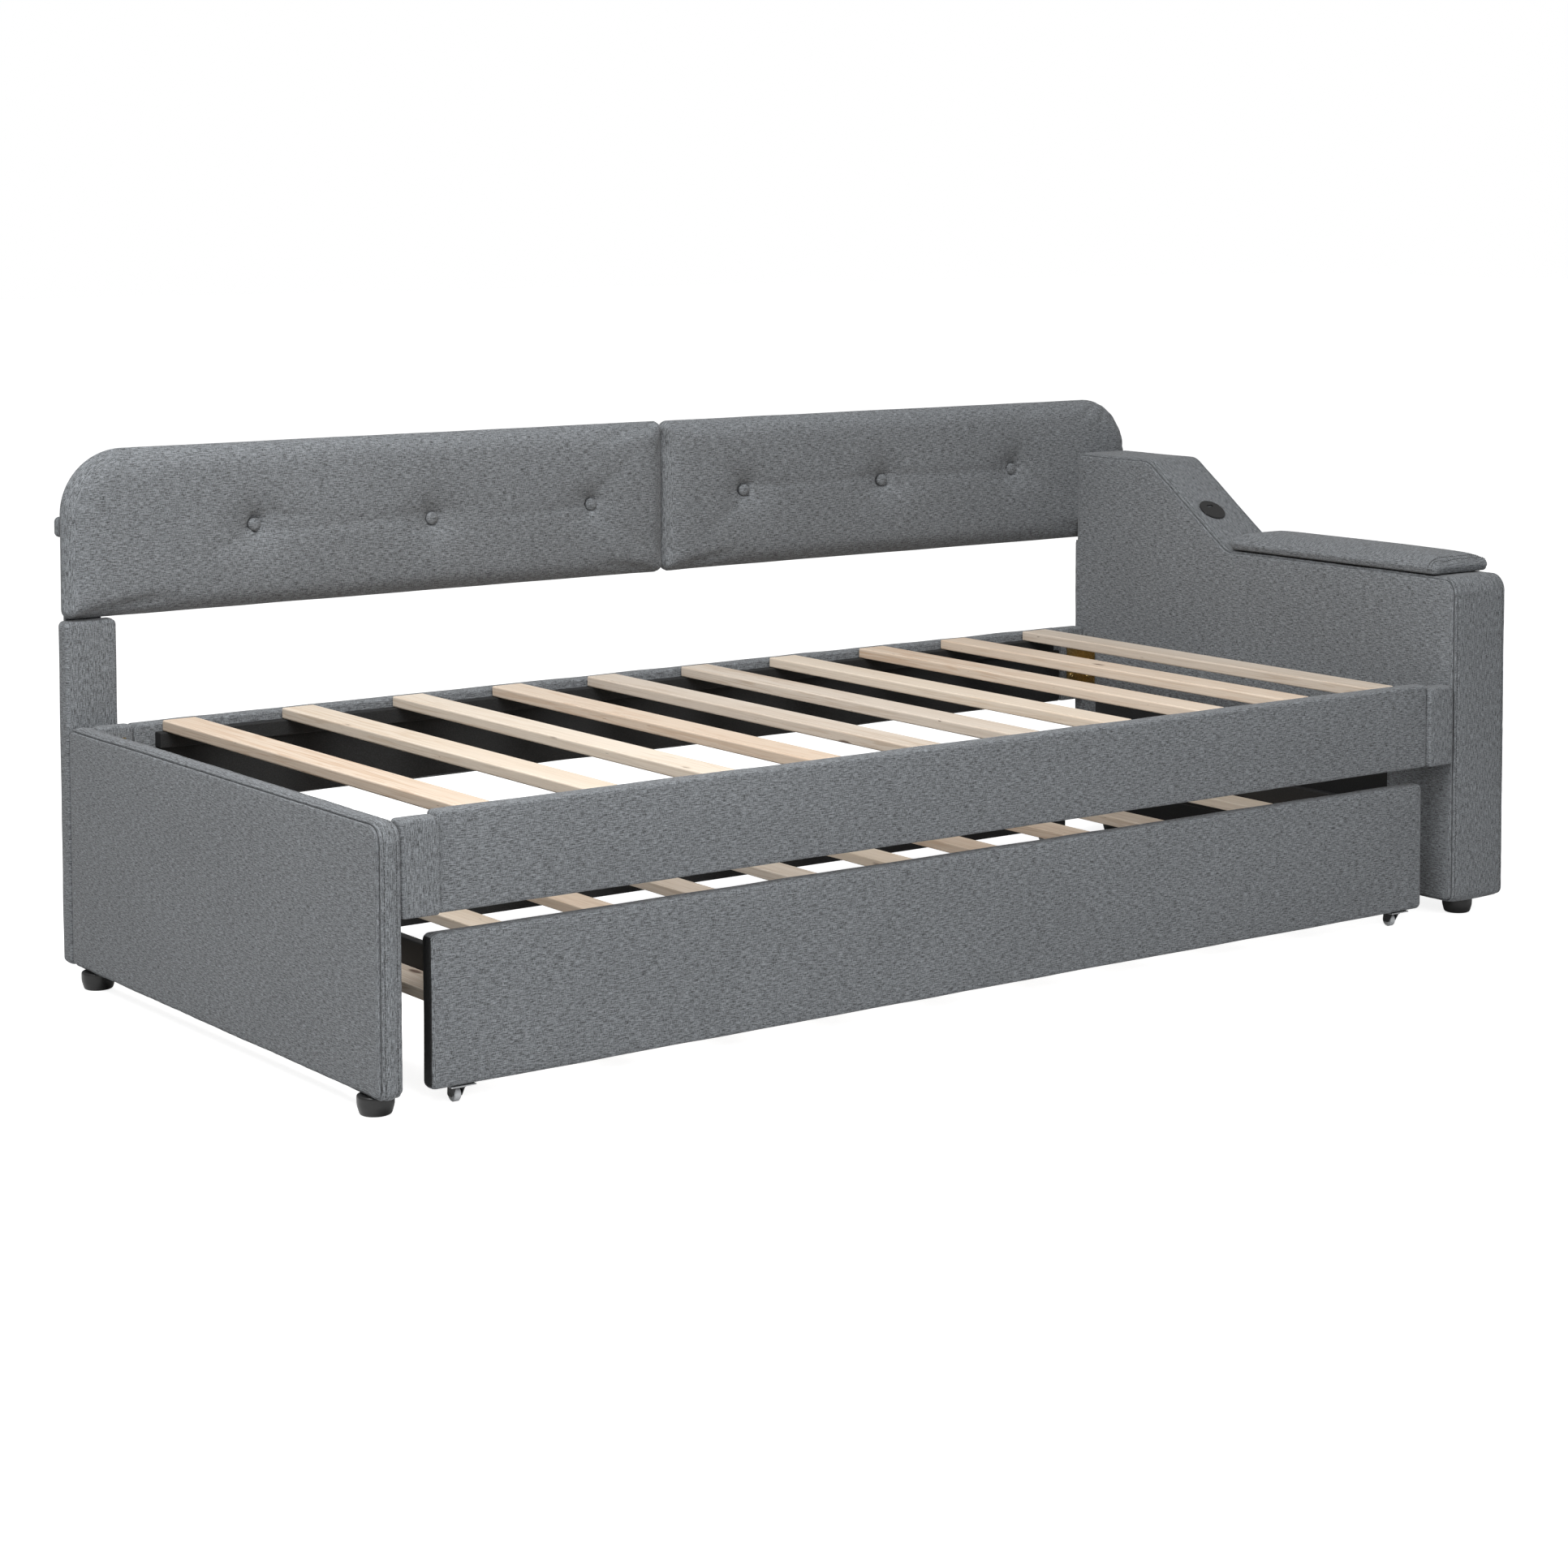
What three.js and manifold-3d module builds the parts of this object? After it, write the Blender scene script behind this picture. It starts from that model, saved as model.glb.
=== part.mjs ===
// Daybed with a pull-out trundle, an end panel, a storage arm and a padded back.
// Millimetres, +Z up. Every size below is measured from the outer face and the
// front of the left end panel, and the bed is then moved so that the origin is
// the bottom centre of its box.
import * as THREE from 'three';
import { RoundedBoxGeometry } from 'three/addons/geometries/RoundedBoxGeometry.js';
import { mergeVertices } from 'three/addons/utils/BufferGeometryUtils.js';
import Module from 'manifold-3d';

// Overall layout
const BED_LENGTH = 2100;
const BED_DEPTH = 1013;
const FOOT_OVERHANG = 6;
const GAP = 0.3;
const FOOT_HEIGHT = 27;
const FABRIC_EDGE = 6;

// Left end panel and the feet
const PANEL = { thick: 36, depth: 972, top: 389, corner: 28 };
const FOOT = { topRadius: 25, bottomRadius: 22, frontY: 48, backY: 918 };
const FOOT_X = { left: 19, right: 2037 };

// Fixed rails, their end blocks and the slat cleats
const RAIL = { x0: 92.5, x1: 1921.5, edge: 8 };
const FRONT_RAIL = { y0: 9, y1: 41, z0: 260, z1: 394 };
const BACK_RAIL = { y0: 942, y1: 971.5, z0: 255, z1: 389 };
const BLOCK = { frontY0: 2, frontY1: 34, top: 389 };
const CLEAT = { wide: 20, z0: 352, z1: 375.7, endGap: 34 };

// Slats of the fixed bed
const SLAT_LEFT = [137, 337, 531, 713, 894, 1080, 1262, 1454, 1636, 1825];
const SLAT = { wide: 55, y0: 45, y1: 938, z0: 376, z1: 393 };

// Storage arm, its lid and hinge
const ARM = { x0: 1976, x1: 2100, front: 3, back: 966, lowTop: 565, highTop: 711 };
const ARM_FOOT_BACK = 972;
const ARM_STEP_Z = 549;
const SLOPE = { startY: 555, endY: 765 };
const ARM_WALL = 18;
const HOLLOW = { y0: 560, y1: 885, underSlope: 22 };
const STORE = { x0: 1990, x1: 2086, y0: 62, y1: 536, z0: 46 };
const LID = { x0: 1974, x1: 2095, y0: 47, y1: 545, z0: 567.5, z1: 600, edge: 12 };
const HINGE = { x: 2097.8, z: 566.4, radius: 2.2, y0: 64, y1: 534, leaf: 14, leafThick: 0.9 };
const USB = { x: 2022, y: 642, flange: 24.8, barrel: 18.5, hole: 19.2, height: 4, depth: 24 };
const USB_SLOT = { wide: 13, high: 5, depth: 9, offset: 9 };

// Back posts, cross rail and the two pads
const POST = { wide: 79, y0: 972.3, y1: 1004.6, shoulder: 549, top: 706 };
const STRAP = { y0: 1000.7, z0: 440, inset: 12 };
const CROSS_RAIL = { z0: 676, z1: 706 };
const PAD = { y0: 966.4, y1: 1000.3, z0: 552, z1: 808, middle: 1070.3, corner: 100, edge: 12 };
const PAD_SEAM_GAP = 0.6;

// Trundle
const T_PANEL = { x0: 82, x1: 1915, y0: 12, y1: 37, z1: 232 };
const T_RAIL = { x0: 95, x1: 1903, y0: 37.3, y1: 51.3, z1: 138 };
const T_BACK = { y0: 905, y1: 935 };
const T_SLAT_LEFT = [89.5, 330, 518, 698, 887, 1070, 1240, 1435, 1595, 1843];
const T_SLAT = { wide: 51.7, y0: 40, y1: 922, z0: 138.3, z1: 154 };
const T_BOARD = { thick: 13.7, leftX: 141.5, rightX: 1895.3, z0: 118, z1: 190 };

// Casters, four alike, as offsets from each swivel axis
const CASTER_X = [130, 1867];
const CASTER_Y = [31, 918];
const CASTER_PLATE = { side: 38, z0: 24.7, z1: 26.7 };
const FORK = { radius: 13, z0: 22, z1: 24.3, cheekX: 6.2, cheekThick: 1.6, cheekZ: 7.5, long: 16 };
const WHEEL = { radius: 10.5, wide: 10, bore: 2.1, trail: 7 };
const AXLE_RADIUS = 1.8;

const COLOURS = {
  fabric: [0x6e7277, 0.95, 0],
  lining: [0x17171a, 0.9, 0],
  pine: [0xd9c3a3, 0.6, 0],
  blackPlastic: [0x1b1b1d, 0.45, 0],
  steel: [0xb9bcc0, 0.35, 1],
  zinc: [0xa7a9ac, 0.3, 1],
  wheel: [0xc3c7cb, 0.25, 0],
};

const wasm = await Module();
wasm.setup();

const bed = new THREE.Group();
bed.position.set(-(BED_LENGTH - FOOT_OVERHANG) / 2, -BED_DEPTH / 2, 0);

function addMesh(name, geometry, colour) {
  const [hex, roughness, metalness] = COLOURS[colour];
  const material = new THREE.MeshStandardMaterial({ color: hex, roughness, metalness });
  const mesh = new THREE.Mesh(geometry, material);
  mesh.name = name;
  bed.add(mesh);
  return mesh;
}

// A box between two corners with rounded edges.
function block(name, low, high, radius, colour, segments = 2) {
  const size = high.map((value, i) => value - low[i]);
  const mesh = addMesh(name, new RoundedBoxGeometry(...size, segments, radius), colour);
  mesh.position.set(...high.map((value, i) => (value + low[i]) / 2));
  return mesh;
}

// A closed outline from corners given as [x, y, radius].
function roundedOutline(corners, steps = 6) {
  const points = [];
  corners.forEach(([x, y, radius], i) => {
    const here = new THREE.Vector2(x, y);
    if (!radius) {
      points.push(here);
      return;
    }
    const before = corners[(i + corners.length - 1) % corners.length];
    const after = corners[(i + 1) % corners.length];
    const a = new THREE.Vector2(before[0] - x, before[1] - y).normalize();
    const b = new THREE.Vector2(after[0] - x, after[1] - y).normalize();
    points.push(...cornerArc(here, a, b, radius, steps));
  });
  return new THREE.Shape(points);
}

// The arc of one rounded corner, between its two unit edge directions.
function cornerArc(corner, a, b, radius, steps) {
  const half = Math.acos(a.dot(b)) / 2;
  const middle = a.clone().add(b).normalize().multiplyScalar(radius / Math.sin(half));
  const centre = corner.clone().add(middle);
  const start = corner.clone().add(a.clone().multiplyScalar(radius / Math.tan(half))).sub(centre);
  const end = corner.clone().add(b.clone().multiplyScalar(radius / Math.tan(half))).sub(centre);
  const from = start.angle();
  const sweep = Math.atan2(start.cross(end), start.dot(end));
  return Array.from({ length: steps + 1 }, (_, k) => {
    const angle = from + (sweep * k) / steps;
    return new THREE.Vector2(
      centre.x + radius * Math.cos(angle),
      centre.y + radius * Math.sin(angle),
    );
  });
}

// An outline swept straight, with both faces' edges eased by the bevel.
function sweep(outline, length, bevel) {
  const geometry = new THREE.ExtrudeGeometry(outline, {
    depth: length - 2 * bevel,
    bevelEnabled: bevel > 0,
    bevelThickness: bevel,
    bevelSize: bevel,
    bevelOffset: -bevel,
    bevelSegments: 3,
    steps: 1,
  });
  return geometry.translate(0, 0, bevel);
}

// The outline is in Y and Z, and the sweep runs along X.
function sweepX(outline, x0, x1, bevel = 0) {
  const turn = new THREE.Matrix4().makeBasis(
    new THREE.Vector3(0, 1, 0),
    new THREE.Vector3(0, 0, 1),
    new THREE.Vector3(1, 0, 0),
  );
  return sweep(outline, x1 - x0, bevel).applyMatrix4(turn).translate(x0, 0, 0);
}

// The outline is in X and Z, and the sweep runs along Y.
function sweepY(outline, y0, y1, bevel = 0) {
  const turn = new THREE.Matrix4().makeBasis(
    new THREE.Vector3(1, 0, 0),
    new THREE.Vector3(0, 0, 1),
    new THREE.Vector3(0, -1, 0),
  );
  return sweep(outline, y1 - y0, bevel).applyMatrix4(turn).translate(0, y1, 0);
}

function boxGeometry(low, high) {
  const size = high.map((value, i) => value - low[i]);
  const centre = high.map((value, i) => (value + low[i]) / 2);
  return new THREE.BoxGeometry(...size).translate(...centre);
}

// A cylinder along +Z, standing on z0.
function cylinderGeometry(radius, z0, z1, sides = 24) {
  const geometry = new THREE.CylinderGeometry(radius, radius, z1 - z0, sides);
  return geometry.rotateX(Math.PI / 2).translate(0, 0, (z0 + z1) / 2);
}

// A body turned about Z from a profile of [radius, height] pairs.
function turned(profile, sides = 24) {
  const points = profile.map(([radius, height]) => new THREE.Vector2(radius, height));
  return new THREE.LatheGeometry(points, sides).rotateX(Math.PI / 2);
}

function toSolid(geometry) {
  const bare = geometry.clone();
  bare.deleteAttribute('normal');
  bare.deleteAttribute('uv');
  const merged = mergeVertices(bare, 1e-3);
  return new wasm.Manifold(new wasm.Mesh({
    numProp: 3,
    vertProperties: new Float32Array(merged.attributes.position.array),
    triVerts: new Uint32Array(merged.index.array),
  }));
}

function toGeometry(solid) {
  const mesh = solid.getMesh();
  const geometry = new THREE.BufferGeometry();
  geometry.setAttribute('position', new THREE.BufferAttribute(mesh.vertProperties, 3));
  geometry.setIndex(new THREE.BufferAttribute(mesh.triVerts, 1));
  geometry.computeVertexNormals();
  return geometry;
}

function addEndPanel() {
  const outline = roundedOutline([
    [0, FOOT_HEIGHT, 9],
    [PANEL.depth, FOOT_HEIGHT, 9],
    [PANEL.depth, PANEL.top, 9],
    [0, PANEL.top, PANEL.corner],
  ]);
  addMesh('left_end_panel', sweepX(outline, 0, PANEL.thick, FABRIC_EDGE), 'fabric');
}

function addFeet() {
  const profile = [
    [0, 0],
    [FOOT.bottomRadius - 3, 0],
    [FOOT.bottomRadius, 3],
    [FOOT.topRadius, 14],
    [FOOT.topRadius, FOOT_HEIGHT - GAP],
    [0, FOOT_HEIGHT - GAP],
  ];
  for (const [side, x] of Object.entries(FOOT_X)) {
    for (const [row, y] of [['front', FOOT.frontY], ['back', FOOT.backY]]) {
      const foot = addMesh(`${side}_${row}_foot`, turned(profile), 'blackPlastic');
      foot.position.set(x, y, 0);
    }
  }
}

// One fixed rail with its two end blocks and its cleat.
function addRail(row, rail, blockY0, blockY1, cleatY0) {
  block(`${row}_rail`, [RAIL.x0, rail.y0, rail.z0], [RAIL.x1, rail.y1, rail.z1], RAIL.edge, 'fabric');
  const ends = {
    left: [PANEL.thick + GAP, RAIL.x0 - GAP],
    right: [RAIL.x1 + GAP, ARM.x0 - GAP],
  };
  for (const [side, [x0, x1]] of Object.entries(ends)) {
    const low = [x0, blockY0, rail.z0];
    const high = [x1, blockY1, BLOCK.top];
    block(`${row}_rail_${side}_block`, low, high, FABRIC_EDGE, 'fabric');
  }
  const low = [RAIL.x0 + CLEAT.endGap, cleatY0, CLEAT.z0];
  const high = [RAIL.x1 - CLEAT.endGap, cleatY0 + CLEAT.wide, CLEAT.z1];
  block(`${row}_slat_cleat`, low, high, 1.5, 'lining', 1);
}

function addMainSlats() {
  SLAT_LEFT.forEach((x0, i) => {
    const low = [x0, SLAT.y0, SLAT.z0];
    const high = [x0 + SLAT.wide, SLAT.y1, SLAT.z1];
    block(`main_slat_${i + 1}`, low, high, 2.5, 'pine');
  });
}

// Height of the arm's sloping face at a depth y.
function slopeZ(y) {
  const rise = (ARM.highTop - ARM.lowTop) / (SLOPE.endY - SLOPE.startY);
  return ARM.lowTop + (y - SLOPE.startY) * rise;
}

function armOutline() {
  return roundedOutline([
    [ARM.front, FOOT_HEIGHT + 1, 12],
    [ARM_FOOT_BACK, FOOT_HEIGHT + 1, 9],
    [ARM_FOOT_BACK, ARM_STEP_Z, 0],
    [ARM.back, ARM_STEP_Z, 0],
    [ARM.back, ARM.highTop, 10],
    [SLOPE.endY, ARM.highTop, 40],
    [SLOPE.startY, ARM.lowTop, 40],
    [ARM.front, ARM.lowTop, 27],
  ]);
}

// The closed hollow behind the store, open underneath.
function rearHollow() {
  const top = ARM.highTop - ARM_WALL;
  const outline = roundedOutline([
    [HOLLOW.y0, 0, 0],
    [HOLLOW.y1, 0, 0],
    [HOLLOW.y1, top, 0],
    [SLOPE.endY + 6, top, 0],
    [HOLLOW.y0, slopeZ(HOLLOW.y0) - HOLLOW.underSlope, 0],
  ]);
  return sweepX(outline, STORE.x0, STORE.x1);
}

// Places a body made about +Z so that it stands square on the sloping face.
function ontoSlope(geometry) {
  const angle = Math.atan2(ARM.highTop - ARM.lowTop, SLOPE.endY - SLOPE.startY);
  return geometry.rotateX(angle).translate(USB.x, USB.y, slopeZ(USB.y));
}

function addArm() {
  const body = toSolid(sweepX(armOutline(), ARM.x0, ARM.x1, FABRIC_EDGE));
  const store = boxGeometry(
    [STORE.x0, STORE.y0, STORE.z0],
    [STORE.x1, STORE.y1, ARM.lowTop + 50],
  );
  const hole = ontoSlope(cylinderGeometry(USB.hole, -40, 20));
  const carcass = body
    .subtract(toSolid(store))
    .subtract(toSolid(rearHollow()))
    .subtract(toSolid(hole));
  addMesh('arm_carcass', toGeometry(carcass), 'fabric');
}

function addLid() {
  block('arm_lid', [LID.x0, LID.y0, LID.z0], [LID.x1, LID.y1, LID.z1], LID.edge, 'fabric');
  const barrel = cylinderGeometry(HINGE.radius, HINGE.y0, HINGE.y1, 16);
  barrel.rotateX(-Math.PI / 2).translate(HINGE.x, 0, HINGE.z);
  const leafZ0 = ARM.lowTop + GAP;
  const leaf = boxGeometry(
    [HINGE.x - HINGE.leaf, HINGE.y0, leafZ0],
    [HINGE.x, HINGE.y1, leafZ0 + HINGE.leafThick],
  );
  addMesh('arm_lid_hinge', toGeometry(toSolid(barrel).add(toSolid(leaf))), 'steel');
}

function addUsbPort() {
  const port = turned([
    [0, -USB.depth],
    [USB.barrel, -USB.depth],
    [USB.barrel, GAP],
    [USB.flange - 1, GAP],
    [USB.flange, GAP + 1],
    [USB.flange, USB.height - 1],
    [USB.flange - 1.5, USB.height],
    [0, USB.height],
  ], 32);
  const slot = boxGeometry(
    [-USB_SLOT.wide / 2, USB_SLOT.offset - USB_SLOT.high / 2, USB.height - USB_SLOT.depth],
    [USB_SLOT.wide / 2, USB_SLOT.offset + USB_SLOT.high / 2, USB.height + 5],
  );
  const cut = toGeometry(toSolid(port).subtract(toSolid(slot)));
  addMesh('usb_port', ontoSlope(cut), 'blackPlastic');
}

function addPost(side, x0, x1) {
  const leg = boxGeometry([x0, POST.y0, FOOT_HEIGHT], [x1, POST.y1, POST.shoulder]);
  const strap = boxGeometry(
    [x0 + STRAP.inset, STRAP.y0, STRAP.z0],
    [x1 - STRAP.inset, BED_DEPTH, POST.top],
  );
  const railEnd = boxGeometry([x0, STRAP.y0, CROSS_RAIL.z0], [x1, BED_DEPTH, POST.top]);
  const whole = toSolid(leg).add(toSolid(strap)).add(toSolid(railEnd));
  addMesh(`${side}_rear_post`, toGeometry(whole), 'fabric');
}

function addPad(side, x0, x1) {
  const outer = PAD.corner;
  const inner = PAD.edge + 2;
  const outline = roundedOutline([
    [x0, PAD.z0, inner],
    [x1, PAD.z0, inner],
    [x1, PAD.z1, side === 'right' ? outer : inner],
    [x0, PAD.z1, side === 'left' ? outer : inner],
  ], 8);
  addMesh(`${side}_backrest_pad`, sweepY(outline, PAD.y0, PAD.y1, PAD.edge), 'fabric');
}

function addBack() {
  addPost('left', 0, POST.wide);
  addPost('right', BED_LENGTH - POST.wide, BED_LENGTH);
  const low = [POST.wide + GAP, STRAP.y0, CROSS_RAIL.z0];
  const high = [BED_LENGTH - POST.wide - GAP, BED_DEPTH, CROSS_RAIL.z1];
  block('backrest_cross_rail', low, high, 2, 'fabric', 1);
  addPad('left', 0, PAD.middle - PAD_SEAM_GAP / 2);
  addPad('right', PAD.middle + PAD_SEAM_GAP / 2, BED_LENGTH);
}

function addTrundleFrame() {
  const bottom = FOOT_HEIGHT;
  const panelLow = [T_PANEL.x0, T_PANEL.y0, bottom];
  block('trundle_front_panel', panelLow, [T_PANEL.x1, T_PANEL.y1, T_PANEL.z1], 6, 'fabric');
  const railLow = [T_RAIL.x0, T_RAIL.y0, bottom];
  block('trundle_front_rail', railLow, [T_RAIL.x1, T_RAIL.y1, T_RAIL.z1], 2, 'lining', 1);
  const backLow = [T_RAIL.x0, T_BACK.y0, bottom];
  block('trundle_back_rail', backLow, [T_RAIL.x1, T_BACK.y1, T_RAIL.z1], 2, 'lining', 1);
  for (const [side, x0] of [['left', T_BOARD.leftX], ['right', T_BOARD.rightX]]) {
    const low = [x0, T_RAIL.y1 + GAP, T_BOARD.z0];
    const high = [x0 + T_BOARD.thick, T_BACK.y0 - GAP, T_BOARD.z1];
    block(`trundle_${side}_board`, low, high, 2, 'lining', 1);
  }
}

function addTrundleSlats() {
  T_SLAT_LEFT.forEach((x0, i) => {
    const low = [x0, T_SLAT.y0, T_SLAT.z0];
    block(`trundle_slat_${i + 1}`, low, [x0 + T_SLAT.wide, T_SLAT.y1, T_SLAT.z1], 2, 'pine');
  });
}

function forkGeometry() {
  const centreZ = WHEEL.radius;
  const reach = WHEEL.trail + FORK.long / 2;
  const outline = roundedOutline([
    [-FORK.radius + 4, FORK.z0 + 1, 0],
    [WHEEL.trail - FORK.long / 2 + 2, FORK.cheekZ, 3],
    [reach - 2, FORK.cheekZ, 3],
    [reach - 3, FORK.z0 + 1, 0],
  ], 3);
  const axle = cylinderGeometry(AXLE_RADIUS, -FORK.cheekX, FORK.cheekX, 16);
  axle.rotateY(Math.PI / 2).translate(0, WHEEL.trail, centreZ);
  let solid = toSolid(cylinderGeometry(FORK.radius, FORK.z0, FORK.z1)).add(toSolid(axle));
  for (const x0 of [-FORK.cheekX - FORK.cheekThick, FORK.cheekX]) {
    solid = solid.add(toSolid(sweepX(outline, x0, x0 + FORK.cheekThick)));
  }
  return toGeometry(solid);
}

function wheelGeometry() {
  const half = WHEEL.wide / 2;
  const wheel = turned([
    [WHEEL.bore, -half],
    [WHEEL.radius - 1.5, -half],
    [WHEEL.radius, -half + 1.5],
    [WHEEL.radius, half - 1.5],
    [WHEEL.radius - 1.5, half],
    [WHEEL.bore, half],
    [WHEEL.bore, -half],
  ], 28);
  return wheel.rotateY(Math.PI / 2);
}

function addCaster(number, x, y) {
  const half = CASTER_PLATE.side / 2;
  const low = [x - half, y - half, CASTER_PLATE.z0];
  block(`caster_plate_${number}`, low, [x + half, y + half, CASTER_PLATE.z1], 0.8, 'zinc', 1);
  const fork = addMesh(`caster_fork_${number}`, forkGeometry(), 'zinc');
  fork.position.set(x, y, 0);
  const wheel = addMesh(`caster_wheel_${number}`, wheelGeometry(), 'wheel');
  wheel.position.set(x, y + WHEEL.trail, WHEEL.radius);
}

addEndPanel();
addFeet();
addRail('front', FRONT_RAIL, BLOCK.frontY0, BLOCK.frontY1, FRONT_RAIL.y1 + GAP);
addRail('back', BACK_RAIL, BACK_RAIL.y0, BACK_RAIL.y1, BACK_RAIL.y0 - GAP - CLEAT.wide);
addMainSlats();
addArm();
addLid();
addUsbPort();
addBack();
addTrundleFrame();
addTrundleSlats();
CASTER_Y.forEach((y, row) => CASTER_X.forEach((x, i) => addCaster(row * 2 + i + 1, x, y)));

export default bed;
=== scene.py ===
"""Looks for the upholstered daybed with its slatted trundle: fabric, timber, metal and stitching."""

import math

import bmesh
import bpy
import numpy as np
from mathutils import Matrix, Vector, noise
from mathutils.bvhtree import BVHTree
from mathutils.geometry import delaunay_2d_cdt


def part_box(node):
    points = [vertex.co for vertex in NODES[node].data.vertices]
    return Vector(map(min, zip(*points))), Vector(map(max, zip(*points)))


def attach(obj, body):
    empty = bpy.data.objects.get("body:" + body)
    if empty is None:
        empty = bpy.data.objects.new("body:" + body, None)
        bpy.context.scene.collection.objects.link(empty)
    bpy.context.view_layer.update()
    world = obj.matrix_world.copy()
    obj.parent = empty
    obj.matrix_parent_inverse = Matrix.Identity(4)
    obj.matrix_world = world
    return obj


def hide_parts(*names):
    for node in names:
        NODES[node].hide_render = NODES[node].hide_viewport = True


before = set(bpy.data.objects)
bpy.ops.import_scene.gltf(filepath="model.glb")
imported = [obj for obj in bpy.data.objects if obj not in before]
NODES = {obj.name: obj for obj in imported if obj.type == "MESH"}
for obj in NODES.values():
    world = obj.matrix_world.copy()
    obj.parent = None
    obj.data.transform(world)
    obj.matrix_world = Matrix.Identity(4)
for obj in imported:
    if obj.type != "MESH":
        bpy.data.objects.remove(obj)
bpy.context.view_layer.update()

# ---- shared values
MM = 0.001
EDGE = 10 * MM             # rounding of an upholstered board's edges
SEAM_DEPTH = 2.9 * MM      # how far a seam pulls in
STITCH_PITCH = 5.0 * MM
STITCH_LENGTH = 4.0 * MM
THREAD = 1.3 * MM
SHADOW_CORD = 1.1 * MM            # width of the dark cord at the bottom of a seam: painted shade in the seam's groove
YARN = 1.3 * MM            # one over-and-under of the cloth
CLOTH_MAP = "cloth"

PLANES = {"X": (1, 2, 0), "Y": (0, 2, 1), "Z": (0, 1, 2)}


# ---- node helpers
def add_nodes(tree, **kinds):
    """One new node for each keyword: name=type."""
    made = []
    for label, kind in kinds.items():
        node = tree.nodes.new(kind)
        node.label = label
        made.append(node)
    return made


def shader_group(name, inputs):
    """A shader node group with named inputs, from their defaults, and the outputs that every finish needs."""
    group = bpy.data.node_groups.new(name, "ShaderNodeTree")
    for label, default in inputs.items():
        kind = "NodeSocketColor" if isinstance(default, tuple) else "NodeSocketFloat"
        group.interface.new_socket(label, in_out="INPUT", socket_type=kind).default_value = default
    for label, kind in (("Colour", "Color"), ("Height", "Float"), ("Roughness", "Float")):
        group.interface.new_socket(label, in_out="OUTPUT", socket_type=f"NodeSocket{kind}")
    return group, *add_nodes(group, given="NodeGroupInput", result="NodeGroupOutput")


def feed(tree, socket, value):
    """Links a socket to another node's output, or sets it to a plain value."""
    if hasattr(value, "is_output"):
        tree.links.new(value, socket)
    else:
        socket.default_value = value


def wire(tree, *pairs):
    for output, socket in pairs:
        tree.links.new(output, socket)


def math_node(tree, operation, *values, clamp=False):
    node = tree.nodes.new("ShaderNodeMath")
    node.operation = operation
    node.use_clamp = clamp
    for socket, value in zip(node.inputs, values):
        feed(tree, socket, value)
    return node.outputs[0]


def product(tree, *values):
    return math_node(tree, "MULTIPLY", *values)


def mix_colour(tree, factor, a, b, blend="MIX"):
    node = tree.nodes.new("ShaderNodeMix")
    node.data_type = "RGBA"
    node.blend_type = blend
    for index, value in ((0, factor), (6, a), (7, b)):
        feed(tree, node.inputs[index], value)
    return node.outputs[2]


def noise_at(tree, vector, stretch, scale, detail=2.0, roughness=0.5, distortion=0.0):
    """A noise value at a vector stretched by a factor along each axis."""
    mapping, texture = add_nodes(tree, stretch="ShaderNodeMapping", noise="ShaderNodeTexNoise")
    mapping.inputs["Scale"].default_value = stretch
    tree.links.new(vector, mapping.inputs["Vector"])
    tree.links.new(mapping.outputs[0], texture.inputs["Vector"])
    texture.inputs["Scale"].default_value = scale
    texture.inputs["Detail"].default_value = detail
    texture.inputs["Roughness"].default_value = roughness
    texture.inputs["Distortion"].default_value = distortion
    return texture.outputs["Fac"]


def ranged(tree, value, low, high, to_low=0.0, to_high=1.0, smooth=False):
    node = tree.nodes.new("ShaderNodeMapRange")
    node.interpolation_type = "SMOOTHSTEP" if smooth else "LINEAR"
    tree.links.new(value, node.inputs["Value"])
    for label, number in (("From Min", low), ("From Max", high), ("To Min", to_low), ("To Max", to_high)):
        node.inputs[label].default_value = number
    return node.outputs[0]


def object_coordinates(tree):
    return tree.nodes.new("ShaderNodeTexCoord").outputs["Object"]


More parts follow.
